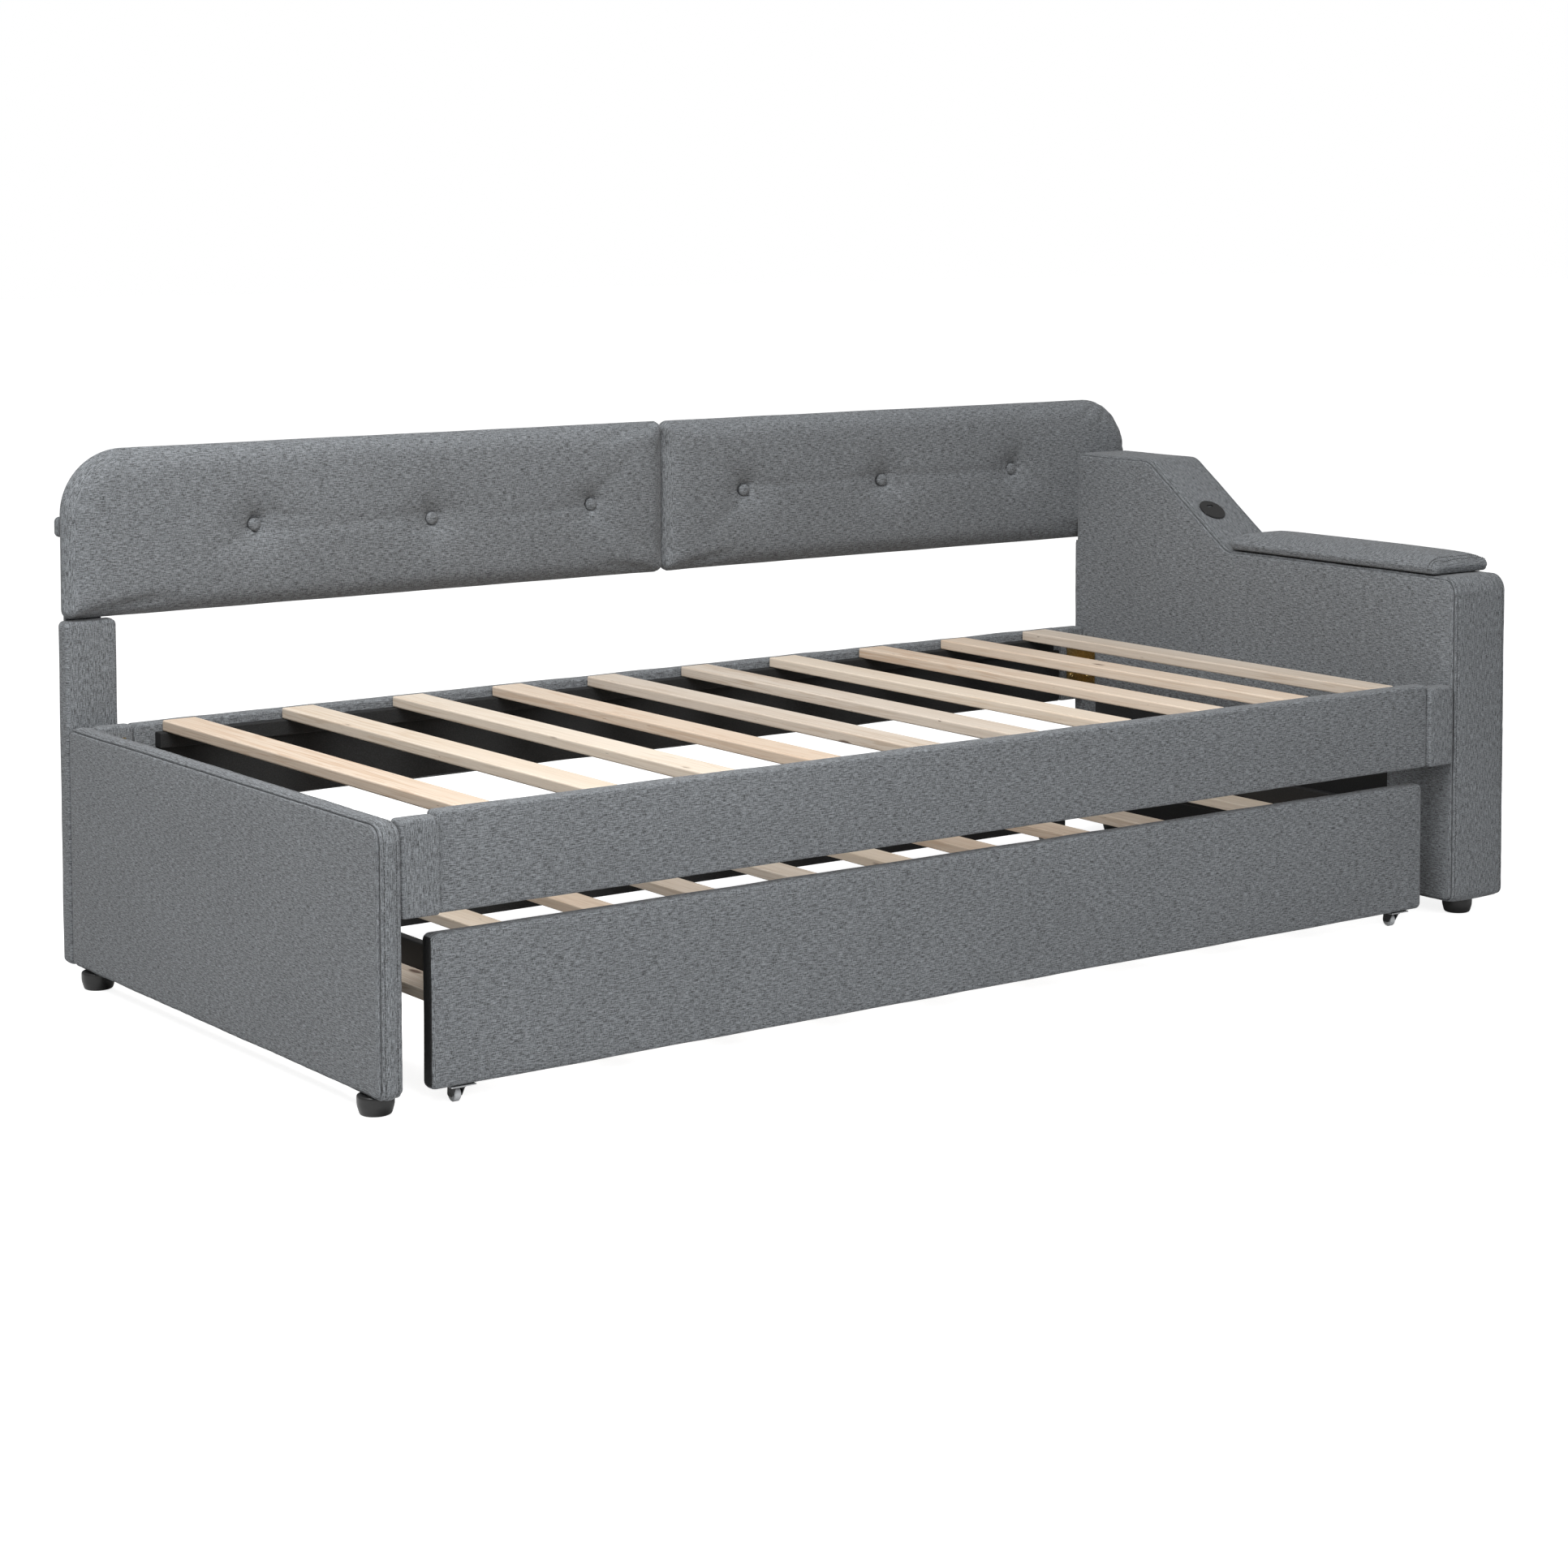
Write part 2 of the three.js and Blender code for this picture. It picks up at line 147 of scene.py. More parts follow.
# ---- shader groups
def heather_group():
    """Two-tone yarns crossing over and under along the cloth's map, with slubs and slow drifts of tone."""
    group, given, result = shader_group(
        "heather_weave",
        {"Dark yarn": (0.1, 0.1, 0.1, 1), "Light yarn": (0.3, 0.3, 0.3, 1), "Contrast": 1.0})
    t, cloth = group, group.nodes.new("ShaderNodeUVMap")
    cloth.uv_map = CLOTH_MAP
    at = cloth.outputs[0]
    weft = noise_at(t, at, (115, 1050, 1), 1.0, 2.0, 0.55)
    warp = noise_at(t, at, (1050, 160, 1), 1.0, 2.0, 0.55)
    fleck = noise_at(t, at, (560, 820, 1), 1.0, 1.0, 0.5)
    slub = noise_at(t, at, (60, 620, 1), 1.0, 1.0, 0.5)
    cloud = noise_at(t, at, (13, 21, 1), 1.0, 3.0, 0.6)
    drift = noise_at(t, at, (3.1, 5.0, 1), 1.0, 1.0, 0.5)
    shares = ((weft, 0.40), (warp, 0.25), (fleck, 0.17), (slub, 0.18))
    tone = 0.0
    for value, share in shares:
        tone = math_node(t, "ADD", tone, product(t, value, share))
    tone = ranged(t, tone, 0.40, 0.60)
    centred = math_node(t, "SUBTRACT", tone, 0.5)
    tone = math_node(t, "ADD", product(t, centred, given.outputs["Contrast"]), 0.5, clamp=True)
    colour = mix_colour(t, tone, given.outputs["Dark yarn"], given.outputs["Light yarn"])
    spark = product(t, ranged(t, slub, 0.66, 0.74), ranged(t, weft, 0.5, 0.62))
    colour = mix_colour(t, product(t, spark, 0.5), colour, given.outputs["Light yarn"])
    gain = product(t, *[ranged(t, value, 0.3, 0.7, 0.97, 1.03) for value in (cloud, drift)])
    colour = mix_colour(t, 1.0, colour, tree_grey(t, gain), "MULTIPLY")
    t.links.new(colour, result.inputs["Colour"])
    split = t.nodes.new("ShaderNodeSeparateXYZ")
    t.links.new(at, split.inputs[0])
    waves = [math_node(t, "SINE", product(t, way, 2 * math.pi / YARN)) for way in split.outputs[:2]]
    height = math_node(t, "ADD", product(t, product(t, *waves), 0.10), tone)
    t.links.new(height, result.inputs["Height"])
    t.links.new(ranged(t, tone, 0.0, 1.0, 0.98, 0.84), result.inputs["Roughness"])
    return group


def tree_grey(tree, value):
    """A value as an even grey."""
    node = tree.nodes.new("ShaderNodeCombineColor")
    for socket in node.inputs[:3]:
        tree.links.new(value, socket)
    return node.outputs[0]


def timber_group():
    """Sawn softwood with its fibres along Y: growth bands, fibres, knots and dark flecks."""
    group, given, result = shader_group(
        "sawn_softwood",
        {"Pale": (0.8, 0.7, 0.55, 1), "Late wood": (0.5, 0.35, 0.2, 1), "Knot": (0.12, 0.06, 0.03, 1),
         "Grain": 0.5, "Log": 0.0})
    t, at = group, object_coordinates(group)
    moved = t.nodes.new("ShaderNodeVectorMath")
    moved.operation = "ADD"
    t.links.new(at, moved.inputs[0])
    t.links.new(given.outputs["Log"], moved.inputs[1])
    at = moved.outputs[0]
    bands = noise_at(t, at, (62, 1.9, 80), 1.0, 3.0, 0.55, 0.6)
    fibres = noise_at(t, at, (900, 14, 900), 1.0, 3.0, 0.6)
    board = noise_at(t, at, (4.3, 0.25, 2.0), 1.7, 1.0, 0.5)
    blush = noise_at(t, at, (9, 1.7, 9), 1.0, 2.0, 0.5)
    rings = math_node(t, "SINE", product(t, bands, 38.0))
    lines = ranged(t, rings, 0.2, 1.0, 0.0, 1.0, smooth=True)
    amount = product(t, lines, given.outputs["Grain"])
    amount = product(t, amount, ranged(t, blush, 0.35, 0.65, 0.25, 1.0))
    colour = mix_colour(t, amount, given.outputs["Pale"], given.outputs["Late wood"])
    tint = product(t, ranged(t, board, 0.35, 0.65), 0.30)
    colour = mix_colour(t, tint, colour, given.outputs["Late wood"])
    cast = ranged(t, fibres, 0.3, 0.7, 0.90, 1.06)
    colour = mix_colour(t, 1.0, colour, tree_grey(t, cast), "MULTIPLY")
    mapping, cells = add_nodes(t, knots="ShaderNodeMapping", cells="ShaderNodeTexVoronoi")
    mapping.inputs["Scale"].default_value = (15, 5.0, 22)
    cells.inputs["Scale"].default_value = 1.0
    t.links.new(at, mapping.inputs["Vector"])
    t.links.new(mapping.outputs[0], cells.inputs["Vector"])
    knot = ranged(t, cells.outputs["Distance"], 0.05, 0.11, 1.0, 0.0, smooth=True)
    fleck = noise_at(t, at, (260, 40, 420), 1.0, 2.0, 0.5)
    fleck = ranged(t, fleck, 0.735, 0.78, 0.0, 0.75)
    dark = math_node(t, "MAXIMUM", product(t, knot, 0.85), fleck)
    colour = mix_colour(t, dark, colour, given.outputs["Knot"])
    t.links.new(colour, result.inputs["Colour"])
    height = math_node(t, "ADD", fibres, product(t, lines, -0.25))
    t.links.new(math_node(t, "SUBTRACT", height, dark), result.inputs["Height"])
    t.links.new(ranged(t, fibres, 0.3, 0.7, 0.72, 0.52), result.inputs["Roughness"])
    return group


def speckle_group():
    """Fine surface irregularity: fibre mat on lining, grain on mouldings, marks on metal."""
    group, given, result = shader_group(
        "fine_speckle",
        {"Base": (0.02, 0.02, 0.02, 1), "Fleck": (0.05, 0.05, 0.05, 1), "Size": 400.0,
         "Low roughness": 0.3, "High roughness": 0.6})
    t, at = group, object_coordinates(group)
    texture, slow = add_nodes(t, grain="ShaderNodeTexNoise", slow="ShaderNodeTexNoise")
    for node in (texture, slow):
        t.links.new(at, node.inputs["Vector"])
        node.inputs["Detail"].default_value = 3.0
    t.links.new(given.outputs["Size"], texture.inputs["Scale"])
    slow.inputs["Scale"].default_value = 14.0
    mask = ranged(t, texture.outputs["Fac"], 0.42, 0.68)
    t.links.new(mix_colour(t, mask, given.outputs["Base"], given.outputs["Fleck"]), result.inputs["Colour"])
    t.links.new(texture.outputs["Fac"], result.inputs["Height"])
    mixed = math_node(t, "ADD", product(t, mask, 0.4), product(t, slow.outputs["Fac"], 0.6))
    node = t.nodes.new("ShaderNodeMapRange")
    t.links.new(mixed, node.inputs["Value"])
    t.links.new(given.outputs["Low roughness"], node.inputs["To Min"])
    t.links.new(given.outputs["High roughness"], node.inputs["To Max"])
    t.links.new(node.outputs[0], result.inputs["Roughness"])
    return group


GROUPS = {"heather": heather_group(), "timber": timber_group(), "speckle": speckle_group()}


def finish_of(name, group, values, bump, distance, **fixed):
    """A material: one shader group feeding a Principled shader and a bump."""
    material = bpy.data.materials.new(name)
    material.use_nodes = True
    tree = material.node_tree
    shader = tree.nodes["Principled BSDF"]
    placed = tree.nodes.new("ShaderNodeGroup")
    placed.node_tree = GROUPS[group]
    for label, value in values.items():
        placed.inputs[label].default_value = value
    relief = tree.nodes.new("ShaderNodeBump")
    relief.inputs["Strength"].default_value = bump
    relief.inputs["Distance"].default_value = distance
    wire(tree, (placed.outputs["Height"], relief.inputs["Height"]),
         (relief.outputs[0], shader.inputs["Normal"]),
         (placed.outputs["Colour"], shader.inputs["Base Color"]),
         (placed.outputs["Roughness"], shader.inputs["Roughness"]))
    for label, value in fixed.items():
        shader.inputs[label.replace("_", " ")].default_value = value
    return material


def speckled(name, base, fleck, size, roughness, bump, depth, **fixed):
    """A finish of the speckle group; depth is its relief in mm."""
    values = {"Base": base, "Fleck": fleck, "Size": size,
              "Low roughness": roughness[0], "High roughness": roughness[1]}
    return finish_of(name, "speckle", values, bump, depth * MM, **fixed)


def grey(value, blue=0.0):
    return (value * (1 - blue), value, value * (1 + blue), 1)


FABRIC = finish_of(
    "grey_heather_cloth", "heather",
    {"Dark yarn": grey(0.052, 0.035), "Light yarn": grey(0.240, 0.06), "Contrast": 1.3},
    0.30, 0.22 * MM, Sheen_Weight=0.12, Sheen_Roughness=0.5, Specular_IOR_Level=0.2,
)
LINING = speckled("black_fibre_lining", grey(0.008), grey(0.022, 0.05), 520.0, (0.5, 0.72), 0.35, 0.3,
                  Specular_IOR_Level=0.35)
PINES = [
    finish_of(
        f"sawn_pine_{label}", "timber",
        {"Pale": pale, "Late wood": late, "Knot": (0.085, 0.045, 0.03, 1), "Grain": grain, "Log": log},
        0.35, 0.4 * MM, Specular_IOR_Level=0.3,
    )
    for label, pale, late, grain, log in (
        ("blush", (0.655, 0.55, 0.445, 1), (0.47, 0.31, 0.195, 1), 0.60, 0.3),
        ("pale", (0.70, 0.615, 0.515, 1), (0.50, 0.37, 0.25, 1), 0.45, 2.1),
        ("grey", (0.61, 0.535, 0.455, 1), (0.42, 0.32, 0.23, 1), 0.55, 4.7),
    )
]
# dark thread for the stitches, partly their own colour and partly painted shade of their tiny shadows; on the
# seam cords it is painted shade
DARK_THREAD_AND_SHADE = speckled("thread_and_painted_shade", grey(0.020, 0.04), grey(0.045, 0.04), 2500.0, (0.7, 0.9),
                         0.2, 0.1)
BLACK_PLASTIC = speckled("black_moulded_plastic", grey(0.010), grey(0.014), 900.0, (0.28, 0.42), 0.08, 0.1,
                         Coat_Weight=0.2, Coat_Roughness=0.25)
GLOSS_BLACK = speckled("gloss_black_plastic", grey(0.012), grey(0.016), 1200.0, (0.16, 0.26), 0.05, 0.05)
ZINC = speckled("bright_zinc", grey(0.52, 0.02), grey(0.66, 0.02), 1500.0, (0.2, 0.36), 0.08, 0.05,
                Metallic=1.0)
DARK_STEEL = speckled("dark_plated_steel", grey(0.10, 0.02), grey(0.17, 0.02), 1500.0, (0.22, 0.38),
                      0.08, 0.05, Metallic=1.0)
GOLD_ZINC = speckled("yellow_zinc", (0.36, 0.25, 0.10, 1), (0.55, 0.42, 0.20, 1), 420.0, (0.28, 0.5),
                     0.1, 0.05, Metallic=1.0)
WHEEL = speckled("smoky_clear_wheel", grey(0.50, 0.03), grey(0.60, 0.03), 700.0, (0.1, 0.2), 0.05, 0.05,
                 Coat_Weight=0.5, Coat_Roughness=0.08)


# ---- outlines
def rounded_outline(corners, step=0.010, arc_step=0.003):
    """Corners (u, v, radius), anticlockwise, as a closed run of closely spaced points."""
    count, bends = len(corners), []
    for i, (u, v, radius) in enumerate(corners):
        here = np.array([u, v])
        before = np.array(corners[i - 1][:2]) - here
        after = np.array(corners[(i + 1) % count][:2]) - here
        a, b = before / np.linalg.norm(before), after / np.linalg.norm(after)
        half = math.acos(max(-1, min(1, float(a @ b)))) / 2
        if radius <= 0 or half > math.pi / 2 - 1e-4:
            bends.append([here])
            continue
        middle = (a + b) / np.linalg.norm(a + b)
        centre = here + middle * radius / math.sin(half)
        start = here + a * radius / math.tan(half) - centre
        end = here + b * radius / math.tan(half) - centre
        turn = math.atan2(start[0] * end[1] - start[1] * end[0], float(start @ end))
        steps = max(5, int(abs(turn) * radius / arc_step))
        first = math.atan2(start[1], start[0])
        angles = [first + turn * k / steps for k in range(steps + 1)]
        bends.append([centre + radius * np.array([math.cos(angle), math.sin(angle)]) for angle in angles])
    points = []
    for i, bend in enumerate(bends):
        points.extend(bend)
        gap = bends[(i + 1) % count][0] - bend[-1]
        pieces = max(1, int(np.linalg.norm(gap) / step))
        points.extend(bend[-1] + gap * k / pieces for k in range(1, pieces))
    return np.array(points)


def miters(points):
    """Inward direction at each point of an anticlockwise outline, for an even inset."""
    along = np.roll(points, -1, 0) - points
    along /= np.linalg.norm(along, axis=1)[:, None]
    inward = np.stack([-along[:, 1], along[:, 0]], 1)
    before = np.roll(inward, 1, 0)
    return (inward + before) / (1 + (inward * before).sum(1))[:, None]


def distance_to(points, outline):
    """Distance from each point to a closed outline."""
    a, b = outline[None], np.roll(outline, -1, 0)[None]
    p, span = points[:, None], b - a
    share = np.clip(((p - a) * span).sum(2) / (span ** 2).sum(2), 0, 1)
    return np.linalg.norm(p - a - span * share[..., None], axis=2).min(1)


def inside(points, outline):
    a, b = outline, np.roll(outline, -1, 0)
    x, y = points[:, 0, None], points[:, 1, None]
    crosses = (a[:, 1] > y) != (b[:, 1] > y)
    rise = np.where(b[:, 1] == a[:, 1], 1e-12, b[:, 1] - a[:, 1])
    where = (b[:, 0] - a[:, 0]) * (y - a[:, 1]) / rise + a[:, 0]
    return (crosses & (x < where)).sum(1) % 2 == 1


def lattice(outline, spacing):
    """Points of a triangular lattice well inside an outline."""
    low, high = outline.min(0), outline.max(0)
    rows = np.arange(low[1], high[1], spacing * 0.866)
    across = np.arange(low[0], high[0], spacing)
    grid = np.array([(u + (k % 2) * spacing / 2, v) for k, v in enumerate(rows) for u in across])
    grid = grid[inside(grid, outline)]
    return grid[distance_to(grid, outline) > spacing * 0.6]


def fill_face(outline, spacing):
    """Inner points and triangles that fill an outline; the outline's own points come first."""
    inner = lattice(outline, spacing)
    everything = np.concatenate([outline, inner])
    count = len(outline)
    edges = [(i, (i + 1) % count) for i in range(count)]
    made = delaunay_2d_cdt([Vector(p) for p in everything], edges, [list(range(count))], 1, 1e-7)
    back = [source[0] if source else None for source in made[3]]
    faces = [[back[i] for i in face] for face in made[2]]
    return inner, [face for face in faces if None not in face]


# ---- upholstered boards
PLAIN_ARC = (0, 15, 30, 45, 60, 75, 90)
SEAM_ARC = (0, 8, 16, 23, 29, 34, 38, 41, 43, 45, 47, 49, 52, 56, 61, 67, 73, 79, 84, 90)
STITCH_DEGREES = (84,)                 # the row of stitches beside a seam


def dip(degrees, middle, width):
    return math.exp(-((degrees - middle) / width) ** 2)


def seam_sink(degrees, seam):
    """How far the cloth sinks at one angle of a sewn edge: the seam, and less at each stitched row."""
    rows = sum(dip(degrees, row, 5) for row in STITCH_DEGREES)
    swell = dip(degrees, 27, 9) + dip(degrees, 64, 9)
    return seam * (dip(degrees, 45, 6) + 0.30 * rows - 0.16 * swell)


def edge_section(edge, seam):
    """Inset and depth over one rounded edge, with a seam in its middle and a stitched row beside it."""
    section = []
    for degrees in SEAM_ARC if seam else PLAIN_ARC:
        turn = math.radians(degrees)
        reach = edge - (seam_sink(degrees, seam) if seam else 0.0)
        section.append((edge - reach * math.sin(turn), edge - reach * math.cos(turn)))
    return section


def in_space(axis, uv, depth):
    """Points of a plane with their depth along the axis, as 3-D points."""
    u, v, w = PLANES[axis]
    out = np.zeros((len(uv), 3))
    out[:, u], out[:, v], out[:, w] = uv[:, 0], uv[:, 1], depth
    return out


def wrinkles(points, size, amount, seed):
    if amount == 0:
        return np.zeros(len(points))
    offset = Vector((seed * 3.7, seed * 1.3, seed * 2.1))
    return np.array([noise.noise(Vector(p) / size + offset) * amount for p in points])


def board(name, body, outline, axis, low, high, finishes, edge=EDGE, seams=(0, 0), crown=(0, 0),
          belly=0.0, spacing=0.014, columns=4, stops=(), rough=0.0005, seed=1, reach=0.035, upright=False):
    """A padded, covered board: two faces filled to their outline and a band around them.

    finishes are those of the low face, the band and the high face; crown is how far each
    face stands out in its middle, belly the same for the band; stops are depths that
    the band has to have an edge at.
    """
    inward = miters(outline)
    rings = [(inset, low + depth, seams[0]) for inset, depth in edge_section(edge, seams[0])]
    depths = sorted(set(list(np.linspace(low + edge, high - edge, columns + 2)[1:-1]) + list(stops)))
    for depth in depths:
        share = (depth - low) / (high - low)
        rings.append((-belly * 4 * share * (1 - share), depth, 0))
    rings += [(inset, high - depth, seams[1]) for inset, depth in reversed(edge_section(edge, seams[1]))]
    count = len(outline)
    parts, faces, kinds, laid = [], [], [], []
    lengths = np.linalg.norm(np.roll(outline, -1, 0) - outline, axis=1)
    around = np.concatenate([[0], np.cumsum(lengths)]) + seed * 0.37
    across = np.concatenate([[0], np.cumsum([math.dist(a[:2], b[:2]) for a, b in zip(rings, rings[1:])])])
    side = in_space(axis, inward, 0.0)
    for inset, depth, seam in rings:
        ring = in_space(axis, outline + inward * inset, depth)
        share = 1 - min(1.0, inset / edge)
        push = wrinkles(ring, 0.09, rough * share, seed) + wrinkles(ring, 0.014, seam * 0.16, seed + 2)
        parts.append(ring - side * push[:, None])
    for k in range(len(rings) - 1):
        for i in range(count):
            j = (i + 1) % count
            faces.append([k * count + i, k * count + j, (k + 1) * count + j, (k + 1) * count + i])
            laid.append([(around[m], across[n]) for m, n in ((i, k), (i + 1, k), (i + 1, k + 1), (i, k + 1))])
            kinds.append(1)
    total = len(rings) * count
    for which, ring_index in ((0, 0), (1, len(rings) - 1)):
        inset, depth = rings[ring_index][:2]
        ring = outline + inward * inset
        inner, triangles = fill_face(ring, spacing)
        away = distance_to(inner, ring)
        rise = crown[which] * (1 - np.exp(-away / reach))
        placed = in_space(axis, inner, depth)
        rise = rise + wrinkles(placed, 0.13, rough * 1.6, seed + 5) * (1 - np.exp(-away / 0.03))
        placed[:, PLANES[axis][2]] += rise * (1 if which else -1)
        parts.append(placed)
        flat = np.concatenate([ring, inner]) + seed * 0.53
        for face in triangles:
            faces.append([ring_index * count + i if i < count else total + i - count for i in face])
            laid.append([tuple(flat[i]) for i in face])
            kinds.append(which * 2)
        total += len(inner)
    if upright:
        laid = [[(v, u) for u, v in corners] for corners in laid]
    return make_piece(name, body, np.concatenate(parts), faces, finishes, kinds, laid)


def make_piece(name, body, points, faces, finishes, kinds=None, laid=None):
    """A closed mesh; laid holds where each face's corners lie on the flat cloth."""
    mesh = bpy.data.meshes.new(name)
    mesh.from_pydata([tuple(p) for p in points], [], faces)
    if laid is None:
        laid = [[flat_place(points[i]) for i in face] for face in faces]
    places = [value for face in laid for corner in face for value in corner]
    mesh.uv_layers.new(name=CLOTH_MAP).data.foreach_set("uv", places)
    if not isinstance(finishes, (list, tuple)):
        finishes = [finishes]
    unique = list(dict.fromkeys(finishes))
    for finish in unique:
        mesh.materials.append(finish)
    if kinds is not None:
        mesh.polygons.foreach_set("material_index", [unique.index(finishes[k]) for k in kinds])
    bm = bmesh.new()
    bm.from_mesh(mesh)
    bmesh.ops.remove_doubles(bm, verts=bm.verts, dist=1e-6)
    bmesh.ops.recalc_face_normals(bm, faces=bm.faces)
    bm.to_mesh(mesh)
    bm.free()
    mesh.polygons.foreach_set("use_smooth", [True] * len(mesh.polygons))
    return new_piece(name, mesh, body)


def flat_place(point):
    return point[0] + 0.3 * point[1], point[2] + 0.3 * point[1]


BODY_OF = {}


def new_piece(name, mesh, body):
    """An object for a mesh, noted with the body that it rides."""
    piece = bpy.data.objects.new(name, mesh)
    bpy.context.scene.collection.objects.link(piece)
    BODY_OF[name] = body
    return piece


def coordinates(piece):
    out = np.zeros(len(piece.data.vertices) * 3)
    piece.data.vertices.foreach_get("co", out)
    return out.reshape(-1, 3)


def set_coordinates(piece, points):
    piece.data.vertices.foreach_set("co", np.asarray(points, np.float32).ravel())
    piece.data.update()


def stitch_lines(outline, axis, low, high, side, keep, seam, edge, seed, rough, angles):
    """Lines over a sewn edge at some of its angles, along the part of the outline that keep allows."""
    inward, lines = miters(outline), []
    across = in_space(axis, inward, 0.0)
    mask = np.array([keep(*p) for p in outline])
    first = int(np.argmax(mask & ~np.roll(mask, 1)))
    run = [i for i in np.roll(np.arange(len(outline)), -first) if mask[i]]
    for degrees in angles:
        turn = math.radians(degrees)
        reach = edge - seam_sink(degrees, seam) + 0.1 * MM
        inset, depth = edge - reach * math.sin(turn), edge - reach * math.cos(turn)
        ring = in_space(axis, outline + inward * inset, low + depth if side == 0 else high - depth)
        share = 1 - min(1.0, inset / edge)
        push = wrinkles(ring, 0.09, rough * share, seed) + wrinkles(ring, 0.014, seam * 0.16, seed + 2)
        lines.append((ring - across * push[:, None])[run])
    return lines


# ---- stitches
def line_tree(name, lengths, **kinds):
    """A Geometry Nodes tree that takes lines, named lengths and a dark material for thread and painted shade.

    It ends with Realize Instances and Set Material, and comes back with the nodes to fill in between.
    """
    tree = bpy.data.node_groups.new(name, "GeometryNodeTree")
    face = tree.interface
    face.new_socket("Geometry", in_out="INPUT", socket_type="NodeSocketGeometry")
    for label in lengths:
        face.new_socket(label, in_out="INPUT", socket_type="NodeSocketFloat")
    face.new_socket("Thread", in_out="INPUT", socket_type="NodeSocketMaterial")
    face.new_socket("Geometry", in_out="OUTPUT", socket_type="NodeSocketGeometry")
    given, result, line, real, paint, *own = add_nodes(
        tree, given="NodeGroupInput", result="NodeGroupOutput", line="GeometryNodeMeshToCurve",
        real="GeometryNodeRealizeInstances", paint="GeometryNodeSetMaterial", **kinds)
    wire(tree, (given.outputs["Geometry"], line.inputs[0]), (real.outputs[0], paint.inputs["Geometry"]),
         (given.outputs["Thread"], paint.inputs["Material"]), (paint.outputs[0], result.inputs[0]))
    return tree, given, line.outputs[0], real.inputs[0], own


def stitch_tree():
    """A bead of thread at every pitch along each line."""
    tree, given, line, end, (points, bead, scale, place) = line_tree(
        "stitch_rows", ("Pitch", "Stitch length", "Thread width"), points="GeometryNodeCurveToPoints",
        bead="GeometryNodeMeshUVSphere", scale="ShaderNodeCombineXYZ", place="GeometryNodeInstanceOnPoints")
    points.mode = "LENGTH"
    for label, value in (("Segments", 6), ("Rings", 5), ("Radius", 0.5)):
        bead.inputs[label].default_value = value
    width = given.outputs["Thread width"]
    wire(tree, (line, points.inputs["Curve"]), (given.outputs["Pitch"], points.inputs["Length"]),
         (points.outputs["Points"], place.inputs["Points"]),
         (points.outputs["Rotation"], place.inputs["Rotation"]),
         (bead.outputs["Mesh"], place.inputs["Instance"]), (width, scale.inputs[0]),
         (width, scale.inputs[1]), (given.outputs["Stitch length"], scale.inputs[2]),
         (scale.outputs[0], place.inputs["Scale"]), (place.outputs[0], end))
    return tree


def shadow_cord_tree():
    """A thin round dark tube laid along each line: painted shade at the bottom of a seam."""
    tree, given, line, end, (ring, tube) = line_tree(
        "seam_shadow_cord", ("Radius",), ring="GeometryNodeCurvePrimitiveCircle", tube="GeometryNodeCurveToMesh")
    ring.inputs["Resolution"].default_value = 5
    tube.inputs["Fill Caps"].default_value = True
    wire(tree, (line, tube.inputs["Curve"]), (given.outputs["Radius"], ring.inputs["Radius"]),
         (ring.outputs[0], tube.inputs["Profile Curve"]), (tube.outputs[0], end))
    return tree


STITCHES = stitch_tree()
SHADOW_CORDS = shadow_cord_tree()


def baked(piece, tree, values):
    """A Geometry Nodes tree run on a piece with named values, kept as a plain mesh."""
    modifier = piece.modifiers.new("nodes", "NODES")
    modifier.node_group = tree
    for item in tree.interface.items_tree:
        if item.item_type == "SOCKET" and item.in_out == "INPUT" and item.name in values:
            modifier[item.identifier] = values[item.name]
    bpy.context.view_layer.update()
    evaluated = piece.evaluated_get(bpy.context.evaluated_depsgraph_get())
    mesh = bpy.data.meshes.new_from_object(evaluated)
    piece.modifiers.clear()
    mesh.name = piece.name
    piece.data = mesh
    return piece


def along_lines(name, body, paths, tree, values):
    """What a Geometry Nodes tree makes along lines of points, as one piece."""
    points, edges = [], []
    for path in paths:
        edges += [(len(points) + k, len(points) + k + 1) for k in range(len(path) - 1)]
        points += [tuple(p) for p in path]
    mesh = bpy.data.meshes.new(name)
    mesh.from_pydata(points, edges, [])
    piece = baked(new_piece(name, mesh, body), tree, dict(values, Thread=DARK_THREAD_AND_SHADE))
    piece.data.polygons.foreach_set("use_smooth", [True] * len(piece.data.polygons))
    return piece


def stitch_rows(name, body, paths):
    values = {"Pitch": STITCH_PITCH, "Stitch length": STITCH_LENGTH, "Thread width": THREAD}
    return along_lines(name, body, paths, STITCHES, values)


def sew(name, outline, low, high, shown, sewn):
    """Stitches, and dark cords of painted shade in the seams, along both long edges of a board that stands
    across X.
    """
    for label, angles, make in (("stitches", STITCH_DEGREES, stitch_rows), ("seams", (45,), seam_shadow_cords)):
        lines = []
        for side in (0, 1):
            lines += stitch_lines(outline, "X", low, high, side, shown, SEAM_DEPTH, angles=angles, **sewn)
        finish_piece(make(f"{name}_{label}", "bed_frame", lines))


# a dark cord along each seam: painted shade in the seam's groove
def seam_shadow_cords(name, body, paths):
    return along_lines(name, body, paths, SHADOW_CORDS, {"Radius": SHADOW_CORD / 2})


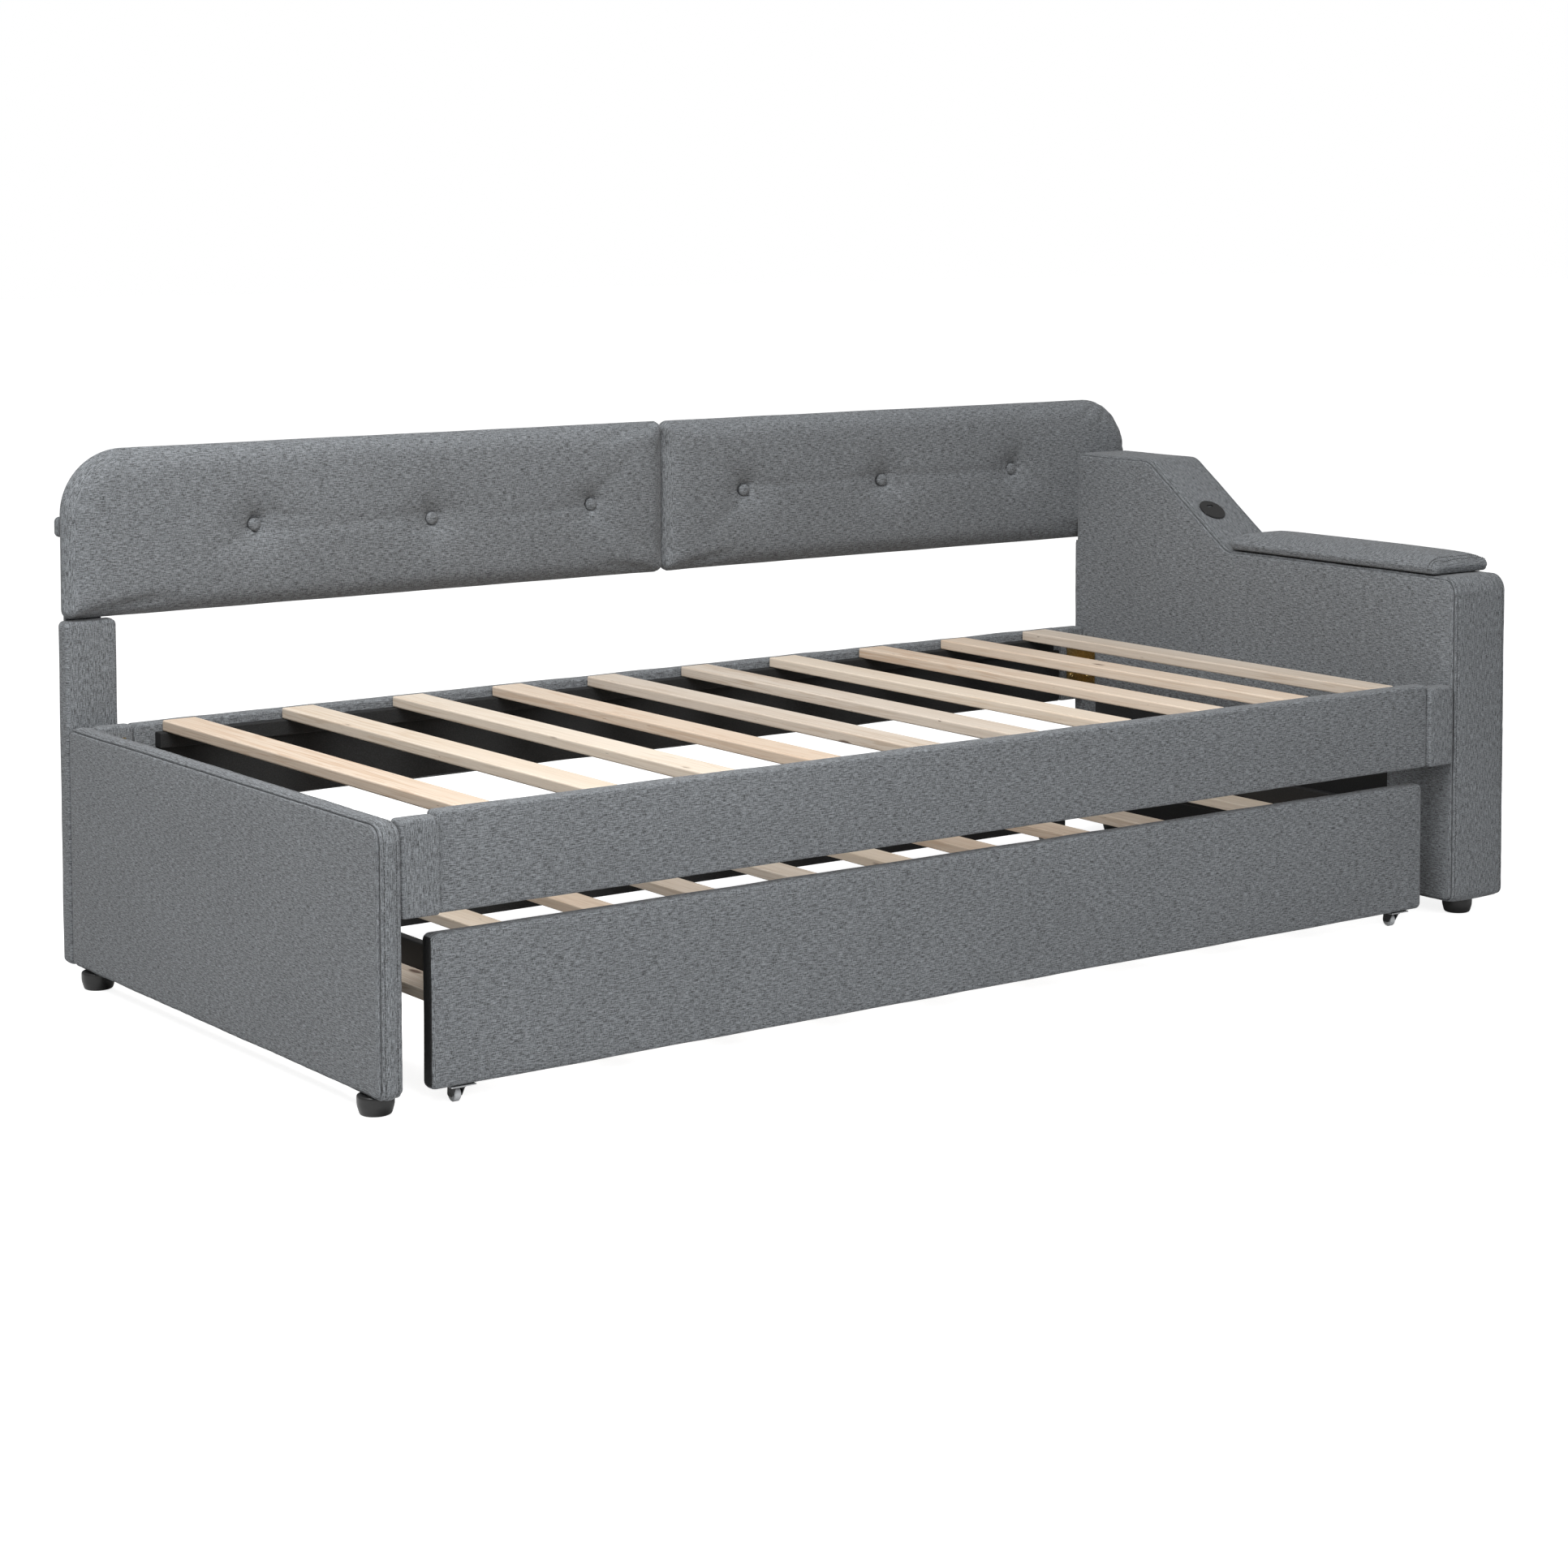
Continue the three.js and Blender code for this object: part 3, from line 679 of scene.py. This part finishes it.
# ---- turned pieces
def turned(name, body, profile, finish, centre, turn=None, sides=48):
    """A body turned about +Z from (radius, height) pairs that start and end on the axis."""
    points, faces, rings = [], [], []
    angles = [2 * math.pi * k / sides for k in range(sides)]
    for radius, height in profile:
        if radius < 1e-7:
            rings.append([len(points)] * sides)
            points.append((0.0, 0.0, height))
        else:
            rings.append(list(range(len(points), len(points) + sides)))
            points += [(radius * math.cos(angle), radius * math.sin(angle), height) for angle in angles]
    for a, b in zip(rings, rings[1:]):
        for k in range(sides):
            face = list(dict.fromkeys([a[k], a[(k + 1) % sides], b[(k + 1) % sides], b[k]]))
            if len(face) > 2:
                faces.append(face)
    placed = Matrix.Translation(centre) @ (turn or Matrix.Identity(4))
    return make_piece(name, body, [placed @ Vector(p) for p in points], faces, finish)


def round_over(profile, radius, steps=5):
    """A profile whose inner corners are rounded, so a turned edge catches the light."""
    out = [profile[0]]
    for before, here, after in zip(profile, profile[1:], profile[2:]):
        p, a, b = (np.array(q, float) for q in (here, before, after))
        ua, ub = (a - p), (b - p)
        la, lb = np.linalg.norm(ua), np.linalg.norm(ub)
        cut = min(radius, la * 0.45, lb * 0.45)
        s, e = p + ua / la * cut, p + ub / lb * cut
        out += [tuple((1 - t) ** 2 * s + 2 * t * (1 - t) * p + t * t * e) for t in np.linspace(0, 1, steps)]
    return out + [profile[-1]]


# ---- cloth
def inflate(piece, held, pressure, frames=20, cap=0.012):
    """Lets a closed cover swell like a stuffed pad, holding some of its points, and keeps the result."""
    rest = coordinates(piece)
    group = piece.vertex_groups.new(name="held")
    group.add([int(i) for i in held], 1.0, "REPLACE")
    cloth = piece.modifiers.new("cover", "CLOTH")
    settings = cloth.settings
    settings.vertex_group_mass = "held"
    settings.quality = 7
    settings.mass = 0.25
    settings.tension_stiffness = settings.compression_stiffness = 18
    settings.shear_stiffness = 8
    settings.bending_stiffness = 0.6
    settings.use_pressure = True
    settings.uniform_pressure_force = pressure
    settings.effector_weights.gravity = 0
    cloth.collision_settings.use_collision = False
    cloth.collision_settings.use_self_collision = False
    cloth.point_cache.frame_start, cloth.point_cache.frame_end = 1, frames
    scene = bpy.context.scene
    for number in range(1, frames + 1):
        scene.frame_set(number)
    evaluated = piece.evaluated_get(bpy.context.evaluated_depsgraph_get())
    swollen = np.zeros(len(rest) * 3)
    evaluated.data.vertices.foreach_get("co", swollen)
    moved = swollen.reshape(-1, 3) - rest
    length = np.linalg.norm(moved, axis=1)
    piece.modifiers.clear()
    piece.vertex_groups.clear()
    scene.frame_set(1)
    limit = cap * np.tanh(length / cap) / np.maximum(length, 1e-9)
    set_coordinates(piece, rest + moved * limit[:, None])
    return piece


def finish_piece(piece, *nodes, slot=None):
    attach(piece, BODY_OF[piece.name])
    if nodes:
        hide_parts(*nodes)


def span(node, axis):
    """(low u, low v, high u, high v), (low depth, high depth) of a node seen along an axis."""
    low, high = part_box(node)
    u, v, w = PLANES[axis]
    return (low[u], low[v], high[u], high[v]), (low[w], high[w])


def rectangle(sides, radius, step):
    """A rounded rectangle from its sides, with radius and step in mm."""
    u0, v0, u1, v1 = sides
    corners = ((u0, v0), (u1, v0), (u1, v1), (u0, v1))
    return rounded_outline([(u, v, radius * MM) for u, v in corners], step=step * MM)


LENGTHS = ("edge", "crown", "belly", "spacing", "rough", "reach")


def cover(name, outline, axis, depths, finishes=(FABRIC,) * 3, body="bed_frame", **shape):
    """A board with the lengths of its shape in mm."""
    shape = {key: np.multiply(value, MM) if key in LENGTHS else value for key, value in shape.items()}
    return board(name, body, outline, axis, *depths, finishes, **shape)


def finished_cover(name, outline, axis, depths, *nodes, slot="grey_fabric", **rest):
    finish_piece(cover(name, outline, axis, depths, **rest), *nodes, slot=slot)


# ---- left end panel
FOOT_BARE = 4 * MM             # the seams stop this far above a board's lower edge


def end_panel():
    (u0, v0, u1, v1), depths = span("left_end_panel", "X")
    outline = rounded_outline([(u0, v0, 12 * MM), (u1, v0, 12 * MM), (u1, v1, 14 * MM), (u0, v1, 28 * MM)])
    finished_cover("end_panel_cover", outline, "X", depths, "left_end_panel", seams=(SEAM_DEPTH,) * 2,
                   crown=(2.5, 2), belly=1.2, columns=2, rough=0.9, seed=3)

    def shown(u, v):
        return v > v0 + FOOT_BARE and u < u1 - 20 * MM

    sew("end_panel", outline, *depths, shown, {"edge": EDGE, "rough": 0.9 * MM, "seed": 3})


# ---- storage arm
SLOPE_FOOT_Y, SLOPE_TOP_Y = 48.5 * MM, 258.5 * MM
ARM_LOW_TOP, ARM_STEP = 565 * MM, 549 * MM
STORE = {"x": (943.5 * MM, 1039 * MM), "y": (-444.5 * MM, 29.5 * MM), "floor": 46 * MM}


def arm():
    (u0, v0, u1, v1), depths = span("arm_carcass", "X")
    back = u1 - 6 * MM
    y0, y1 = STORE["y"]
    outline = rounded_outline([
        (u0, v0, 13 * MM), (u1, v0, 12 * MM), (u1, ARM_STEP, 0), (back, ARM_STEP, 0), (back, v1, 14 * MM),
        (SLOPE_TOP_Y, v1, 42 * MM), (SLOPE_FOOT_Y, ARM_LOW_TOP, 42 * MM), (y1, ARM_LOW_TOP, 0),
        (y0, ARM_LOW_TOP, 0), (u0, ARM_LOW_TOP, 27 * MM)])
    piece = cover("arm_cover", outline, "X", depths, columns=5, seams=(SEAM_DEPTH,) * 2, crown=(2.5, 3),
                  belly=1.5, stops=STORE["x"], rough=0.9, seed=8)
    open_store(piece)
    finish_piece(piece, "arm_carcass", slot="grey_fabric")

    def shown(u, v):
        beside_post = u > back - 20 * MM and v < v1 - 20 * MM
        return v > v0 + FOOT_BARE and u < back - 4 * MM and not beside_post

    sew("arm", outline, *depths, shown, {"edge": EDGE, "rough": 0.9 * MM, "seed": 8})


def open_store(piece):
    """Opens the top of the arm over its compartment and lines the compartment."""
    (x0, x1), (y0, y1) = STORE["x"], STORE["y"]
    piece.data.materials.append(LINING)
    bm = bmesh.new()
    bm.from_mesh(piece.data)
    slack = 0.5 * MM
    doomed = [f for f in bm.faces
              if all(x0 - slack < v.co.x < x1 + slack and y0 - slack < v.co.y < y1 + slack
                     and v.co.z > ARM_LOW_TOP - 5 * MM for v in f.verts)]
    bmesh.ops.delete(bm, geom=doomed, context="FACES")
    rim = [e for e in bm.edges if e.is_boundary]
    for depth, index in ((12 * MM, 0), (None, 1)):
        grown = bmesh.ops.extrude_edge_only(bm, edges=rim)["geom"]
        for part in grown:
            if isinstance(part, bmesh.types.BMVert):
                part.co.z = STORE["floor"] if depth is None else part.co.z - depth
            elif isinstance(part, bmesh.types.BMFace):
                part.material_index = index
        rim = [e for e in grown if isinstance(e, bmesh.types.BMEdge) and e.is_boundary]
    for f in bmesh.ops.contextual_create(bm, geom=rim)["faces"]:
        f.material_index = 1
    bmesh.ops.recalc_face_normals(bm, faces=bm.faces)
    bm.to_mesh(piece.data)
    bm.free()


# ---- lid
def lid():
    (u0, v0, u1, v1), (low, high) = span("arm_lid", "Z")
    u1 += 7 * MM
    v0 -= 2 * MM
    outline = rectangle((u0, v0, u1, v1), 11, 8)
    piece = cover("lid_cushion", outline, "Z", (low, high - 12 * MM), body="lid", edge=6, columns=3,
                  crown=(0, 10), belly=1.5, spacing=9, rough=0.7, seed=11, reach=18)
    held = np.nonzero(coordinates(piece)[:, 2] < low + 14 * MM)[0]
    inflate(piece, held, 3.0, cap=5 * MM)
    finish_piece(piece, "arm_lid", slot="grey_fabric")
    tree = BVHTree.FromObject(piece, bpy.context.evaluated_depsgraph_get())
    rows = []
    for y in (v0 + 8 * MM, v0 + 15 * MM):
        rays = [((u0 - 0.1, y, z), (1, 0, 0)) for z in np.linspace(low + 8 * MM, high - 8 * MM, 6)]
        rays += [((x, y, high + 0.1), (0, 0, -1)) for x in np.linspace(u0 + 3 * MM, u1 - 3 * MM, 40)]
        hits = [(tree.ray_cast(Vector(start), Vector(way))[0], Vector(way)) for start, way in rays]
        rows.append([hit - way * 0.2 * MM for hit, way in hits if hit is not None])
    finish_piece(stitch_rows("lid_stitches", "lid", rows))


# ---- rails
def rails():
    for row in ("front", "back"):
        sides, depths = span(f"{row}_rail", "Y")
        u0, v0, u1, v1 = sides
        front = row == "front"
        finished_cover(f"{row}_rail_cover", rectangle(sides, 6, 12), "Y", depths, f"{row}_rail", edge=4.5,
                       belly=1, crown=(2.5, 1) if front else (0.5, 2), spacing=15,
                       rough=0.9 if front else 1.1, seed=21 if front else 26)
        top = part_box(f"{row}_slat_cleat")[0].z - 1 * MM
        face = depths[1] if front else depths[0]
        outline = rectangle((u0 + 6 * MM, v0 + 3 * MM, u1 - 6 * MM, top), 4, 9)
        finished_cover(f"{row}_rail_lining", outline, "Y", (face - 2.4 * MM, face + 2.4 * MM),
                       slot="black_lining", finishes=(LINING,) * 3, edge=1.2, crown=(0.5, 0.5), spacing=9,
                       columns=1, rough=1.1, seed=91)
        for side in ("left", "right"):
            node = f"{row}_rail_{side}_block"
            sides, depths = span(node, "Y")
            finished_cover(f"{node}_cover", rectangle(sides, 5, 8), "Y", depths, node, edge=3.5,
                           crown=(1.2, 1.2), belly=0.6, spacing=9, rough=0.8, seed=31, upright=True)


# ---- back
BUTTONS = [(x * MM, z * MM) for x, z in
           ((-735, 679), (-422, 670), (-121, 675), (188, 682), (484, 684), (779, 689))]
BUTTON_RADIUS = 10.5 * MM
POST_SHOULDER, POST_LEG_BACK = 549 * MM, 498.1 * MM
STRAP_FOOT = 440 * MM


def back():
    for side in ("left", "right"):
        post(side)
        pad(side)
    cross_rail()


def post(side):
    left = side == "left"
    node = f"{side}_rear_post"
    (x0, y0, z0), (x1, y1, z1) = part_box(node)
    x1 += 2.5 * MM if left else 0
    outline = rectangle((x0, z0, x1, POST_SHOULDER), 8, 10)
    finished_cover(f"{side}_post_cover", outline, "Y", (y0, POST_LEG_BACK), node, edge=5.5, belly=0.8,
                   crown=(1.2, 1.2), spacing=11, rough=0.9, seed=41 if left else 45, upright=True)
    inset = 12 * MM
    outline = rectangle((x0 + inset, STRAP_FOOT, x1 - inset, z1 - 2 * MM), 6, 10)
    finished_cover(f"{side}_post_strap", outline, "Y", (POST_LEG_BACK - 4 * MM, y1 - 1 * MM), edge=3,
                   crown=(0.2, 0.6), spacing=12, rough=0.6, seed=48)


def cross_rail():
    """One covered rail behind both pads, ending flush with the posts."""
    (u0, v0, u1, v1), depths = span("backrest_cross_rail", "Y")
    ends = [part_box(f"{side}_rear_post") for side in ("left", "right")]
    outline = rectangle((ends[0][0].x, v0, ends[1][1].x, v1), 7, 12)
    finished_cover("back_cross_rail_cover", outline, "Y", depths, "backrest_cross_rail", edge=4,
                   crown=(0.2, 0.8), belly=0.4, spacing=12, rough=0.5, seed=71)


def pad(side):
    left = side == "left"
    node = f"{side}_backrest_pad"
    (u0, v0, u1, v1), (low, high) = span(node, "Y")
    u1 += 0 if left else 5 * MM
    small, large = 15 * MM, 100 * MM
    outline = rounded_outline([(u0, v0, small), (u1, v0, small), (u1, v1, small if left else large),
                               (u0, v1, large if left else small)], step=9 * MM)
    piece = cover(f"{side}_pad_cushion", outline, "Y", (low + 2 * MM, high), (FABRIC, FABRIC, LINING),
                  edge=13, crown=(4, 0), belly=0.5, spacing=8, columns=1, rough=0.5,
                  seed=51 if left else 57, reach=50)
    points = coordinates(piece)
    centres = [(x, z) for x, z in BUTTONS if u0 < x < u1]
    away = np.min([np.hypot(points[:, 0] - x, points[:, 2] - z) for x, z in centres], 0)
    tied = (points[:, 1] < low + 10 * MM) & (away < 12 * MM)
    points[tied, 1] = low + 7 * MM
    set_coordinates(piece, points)
    held = np.nonzero((points[:, 1] > low + 18 * MM) | tied)[0]
    inflate(piece, held, 3.2, cap=6 * MM)
    tuft(piece, centres, low)
    finish_piece(piece, node, slot="grey_fabric")
    for number, centre in enumerate(centres):
        button(f"{side}_button_{number + 1}", centre, low)


def tuft(piece, centres, low):
    """Pulls the cover in round each button, with three soft folds running up from it."""
    points = coordinates(piece)
    front = points[:, 1] < low + 12 * MM
    for x, z in centres:
        dx, dz = points[:, 0] - x, points[:, 2] - z
        pull = 6.5 * MM * np.exp(-(np.hypot(dx, dz) / (36 * MM)) ** 1.6)
        for angle, depth, width, length in ((91, 2.4, 8, 46), (128, 1.4, 8, 32), (52, 1.4, 8, 32)):
            a = math.radians(angle)
            along = dx * math.cos(a) + dz * math.sin(a)
            across = -dx * math.sin(a) + dz * math.cos(a)
            ahead = np.maximum(along, 0)
            spread = (width + 0.22 * ahead / MM) * MM
            fold = depth * MM * np.exp(-(across / spread) ** 2) * np.exp(-ahead / (length * MM))
            pull = pull + fold * np.clip(along / (8 * MM), 0, 1)
        points[:, 1] += np.where(front, pull, 0)
    set_coordinates(piece, points)


def button(name, centre, low):
    """A covered button; its profile is (share of the radius, height in mm)."""
    shares = ((0, -6), (0.8, -6), (0.97, -3), (1, -0.6), (0.97, 0.9), (0.86, 2.4), (0.66, 3.6), (0.38, 4.4),
              (0.15, 4.7), (0, 4.75))
    profile = [(share * BUTTON_RADIUS, height * MM) for share, height in shares]
    turn = Matrix.Rotation(math.pi / 2, 4, "X")
    at = Vector((centre[0], low + 6.5 * MM, centre[1]))
    finish_piece(turned(name, "bed_frame", profile, FABRIC, at, turn, sides=40), slot="grey_fabric")


# ---- trundle front
def trundle_front():
    sides, depths = span("trundle_front_panel", "Y")
    piece = cover("trundle_panel_cover", rectangle(sides, 9, 12), "Y", depths, (FABRIC, FABRIC, LINING),
                  body="trundle", edge=6, crown=(2, 0.5), belly=0.6, spacing=14, rough=0.9, seed=61)
    black = piece.data.materials.find(LINING.name)
    near = 4 * MM
    for face in piece.data.polygons:
        at_end = face.center.x < sides[0] + near or face.center.x > sides[2] - near
        if abs(face.normal.x) > 0.75 and at_end:
            face.material_index = black
    finish_piece(piece, "trundle_front_panel", slot="grey_fabric")


# ---- linings and corner brackets
RAIL_UNDERSIDE = 254 * MM
LINING_Y = (-356 * MM, 398 * MM)


def under_linings():
    """Black lining stapled over the lower inner faces of the end panel and the arm."""
    for side, node, outward in (("left", "left_end_panel", 1), ("right", "arm_carcass", -1)):
        low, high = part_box(node)
        face = high.x if outward > 0 else low.x
        depths = sorted((face - outward * 3 * MM, face + outward * 3.6 * MM))
        outline = rectangle((LINING_Y[0], low.z + 4 * MM, LINING_Y[1], RAIL_UNDERSIDE), 4, 12)
        finished_cover(f"{side}_under_lining", outline, "X", depths, slot="black_lining",
                       finishes=(LINING,) * 3, edge=2, crown=(0.4, 0.4), spacing=14, columns=1, rough=0.9,
                       seed=81)


def corner_brackets():
    """Folded angle plates that tie the back rail to the end panel and to the arm."""
    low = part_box("back_rail")[0]
    panel_face, arm_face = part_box("left_end_panel")[1].x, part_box("arm_carcass")[0].x
    gauge, height, leg, wing = 2.2 * MM, 88 * MM, 40 * MM, 34 * MM
    z0, y = low.z + 29 * MM, low.y - 2.0 * MM
    for side, corner, way in (("left", panel_face + 2.4 * MM, 1), ("right", arm_face - 2.9 * MM, -1)):
        inside_x, tip_x = corner + way * gauge, corner + way * leg
        loop = [(corner, y - wing), (corner, y), (tip_x, y),
                (tip_x, y - gauge), (inside_x, y - gauge), (inside_x, y - wing)]
        bm = bmesh.new()
        rings = [[bm.verts.new((px, py, z)) for px, py in loop] for z in (z0, z0 + height)]
        for k in range(len(loop)):
            bm.faces.new((rings[0][k], rings[0][k - 1], rings[1][k - 1], rings[1][k]))
        for ring in rings:
            for quad in ((0, 1, 4, 5), (1, 2, 3, 4)):
                bm.faces.new([ring[k] for k in quad])
        bmesh.ops.recalc_face_normals(bm, faces=bm.faces)
        bmesh.ops.bevel(bm, geom=bm.edges[:], offset=0.6 * MM, segments=2, affect="EDGES", clamp_overlap=True)
        mesh = bpy.data.meshes.new(f"{side}_corner_bracket")
        bm.to_mesh(mesh)
        bm.free()
        mesh.materials.append(GOLD_ZINC)
        finish_piece(new_piece(mesh.name, mesh, "bed_frame"), slot="zinc")
        for number, (along, up) in enumerate(((0.5, 0.2), (0.5, 0.5), (0.5, 0.8)), 1):
            at = Vector((inside_x, y - wing * along, z0 + height * up))
            screw(f"{side}_bracket_screw_{number}", at, Matrix.Rotation(way * math.pi / 2, 4, "Y"))
            at = Vector((corner + way * leg * 0.78, y - gauge, z0 + height * up))
            screw(f"{side}_bracket_bolt_{number}", at, Matrix.Rotation(math.pi / 2, 4, "X"))


def screw(name, at, turn):
    """A pan-head screw with a round recess; its profile is (share of the radius, height in mm)."""
    radius = 5 * MM
    shares = ((0, -1), (1, -1), (1, 0.6), (0.86, 2.2), (0.55, 3.0), (0.42, 2.9), (0.40, 1.2), (0, 1.1))
    profile = [(share * radius, height * MM) for share, height in shares]
    finish_piece(turned(name, "bed_frame", profile, GOLD_ZINC, at, turn, sides=18), slot="zinc")


# ---- feet, port, hinge
def feet():
    for side in ("left", "right"):
        for row in ("front", "back"):
            node = f"{side}_{row}_foot"
            low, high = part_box(node)
            centre = Vector(((low.x + high.x) / 2, (low.y + high.y) / 2, 0))
            r = (high.x - low.x) / 2
            corners = [(0, 0), (r - 4 * MM, 0), (r - 0.3 * MM, 13 * MM), (r, high.z), (0, high.z)]
            piece = turned(f"{node}_turned", "bed_frame", round_over(corners, 3.5 * MM), BLACK_PLASTIC,
                           centre, sides=64)
            finish_piece(piece, node, slot="black_plastic")


def assign(finish, *names):
    for name in names:
        NODES[name].data.materials.clear()
        NODES[name].data.materials.append(finish)


def plain_nodes():
    """Materials for the pieces that keep their own mesh."""
    slats = [n for n in NODES if "slat_" in n and "cleat" not in n]
    for number, name in enumerate(slats):
        assign(PINES[(number * 2 + number // 3) % 3], name)
    assign(LINING, "front_slat_cleat", "back_slat_cleat", "trundle_front_rail",
           "trundle_back_rail", "trundle_left_board", "trundle_right_board")
    assign(ZINC, "arm_lid_hinge")
    assign(GLOSS_BLACK, "usb_port")
    for finish, start in ((ZINC, "caster_plate"), (DARK_STEEL, "caster_fork"), (WHEEL, "caster_wheel")):
        assign(finish, *[n for n in NODES if n.startswith(start)])


# ---- stage
CAMERA = {"at": (-3.09017, -4.32558, 1.20494), "yaw": 0.65860, "pitch": 0.06696, "roll": -0.00057,
          "lens": 77.426, "shift": (-0.10034, -0.23687), "sensor": 36.0}


def camera():
    data = bpy.data.cameras.new("camera")
    piece = bpy.data.objects.new("camera", data)
    bpy.context.scene.collection.objects.link(piece)
    yaw, pitch, roll = CAMERA["yaw"], CAMERA["pitch"], CAMERA["roll"]
    ahead = Vector((math.sin(yaw) * math.cos(pitch), math.cos(yaw) * math.cos(pitch), -math.sin(pitch)))
    right = Vector((math.cos(yaw), -math.sin(yaw), 0))
    down = ahead.cross(right)
    x = math.cos(roll) * right + math.sin(roll) * down
    y = math.sin(roll) * right - math.cos(roll) * down
    turn = Matrix((x, y, -ahead)).transposed().to_4x4()
    piece.matrix_world = Matrix.Translation(CAMERA["at"]) @ turn
    data.sensor_width = CAMERA["sensor"]
    data.lens = CAMERA["lens"]
    data.shift_x, data.shift_y = CAMERA["shift"]
    data.clip_start, data.clip_end = 0.1, 100
    bpy.context.scene.camera = piece


def area_light(name, at, size, power, target=(0, 0, 0.3)):
    data = bpy.data.lights.new(name, "AREA")
    data.shape, data.size, data.energy = "SQUARE", size, power
    piece = bpy.data.objects.new(name, data)
    piece.location = at
    piece.rotation_mode = "QUATERNION"
    piece.rotation_quaternion = (Vector(target) - Vector(at)).to_track_quat("-Z", "Y")
    bpy.context.scene.collection.objects.link(piece)


def seen_only(tree):
    """One where the camera looks straight at it, none for the light that it gives."""
    return tree.nodes.new("ShaderNodeLightPath").outputs["Is Camera Ray"]


def studio():
    size, floor_level = 30.0, -0.4 * MM
    corners = [(x, y, floor_level) for x, y in ((-size, -size), (size, -size), (size, size), (-size, size))]
    mesh = bpy.data.meshes.new("floor")
    mesh.from_pydata(corners, [], [(0, 1, 2, 3)])
    floor = bpy.data.objects.new("floor", mesh)
    bpy.context.scene.collection.objects.link(floor)
    pale = bpy.data.materials.new("pale_floor")
    pale.use_nodes = True
    shader = pale.node_tree.nodes["Principled BSDF"]
    shader.inputs["Base Color"].default_value = (0.62, 0.62, 0.62, 1)
    shader.inputs["Roughness"].default_value = 0.9
    shader.inputs["Specular IOR Level"].default_value = 0.1
    shader.inputs["Emission Color"].default_value = (1, 1, 1, 1)
    glow = product(pale.node_tree, seen_only(pale.node_tree), 0.85)
    pale.node_tree.links.new(glow, shader.inputs["Emission Strength"])
    mesh.materials.append(pale)
    world = bpy.data.worlds.new("studio")
    world.use_nodes = True
    backdrop = world.node_tree.nodes["Background"]
    backdrop.inputs["Color"].default_value = (1, 1, 1, 1)
    level = math_node(world.node_tree, "MULTIPLY_ADD", seen_only(world.node_tree), 0.65, 0.35)
    world.node_tree.links.new(level, backdrop.inputs["Strength"])
    bpy.context.scene.world = world
    bpy.context.scene.view_settings.view_transform = "Standard"
    area_light("overhead", (-1.7, -1.0, 3.2), 2.4, 142, (-0.4, 0.1, 0))
    area_light("key", (-1.5, -4.8, 2.6), 2.4, 104)


camera()
studio()
end_panel()
arm()
lid()
rails()
back()
trundle_front()
under_linings()
corner_brackets()
feet()
plain_nodes()
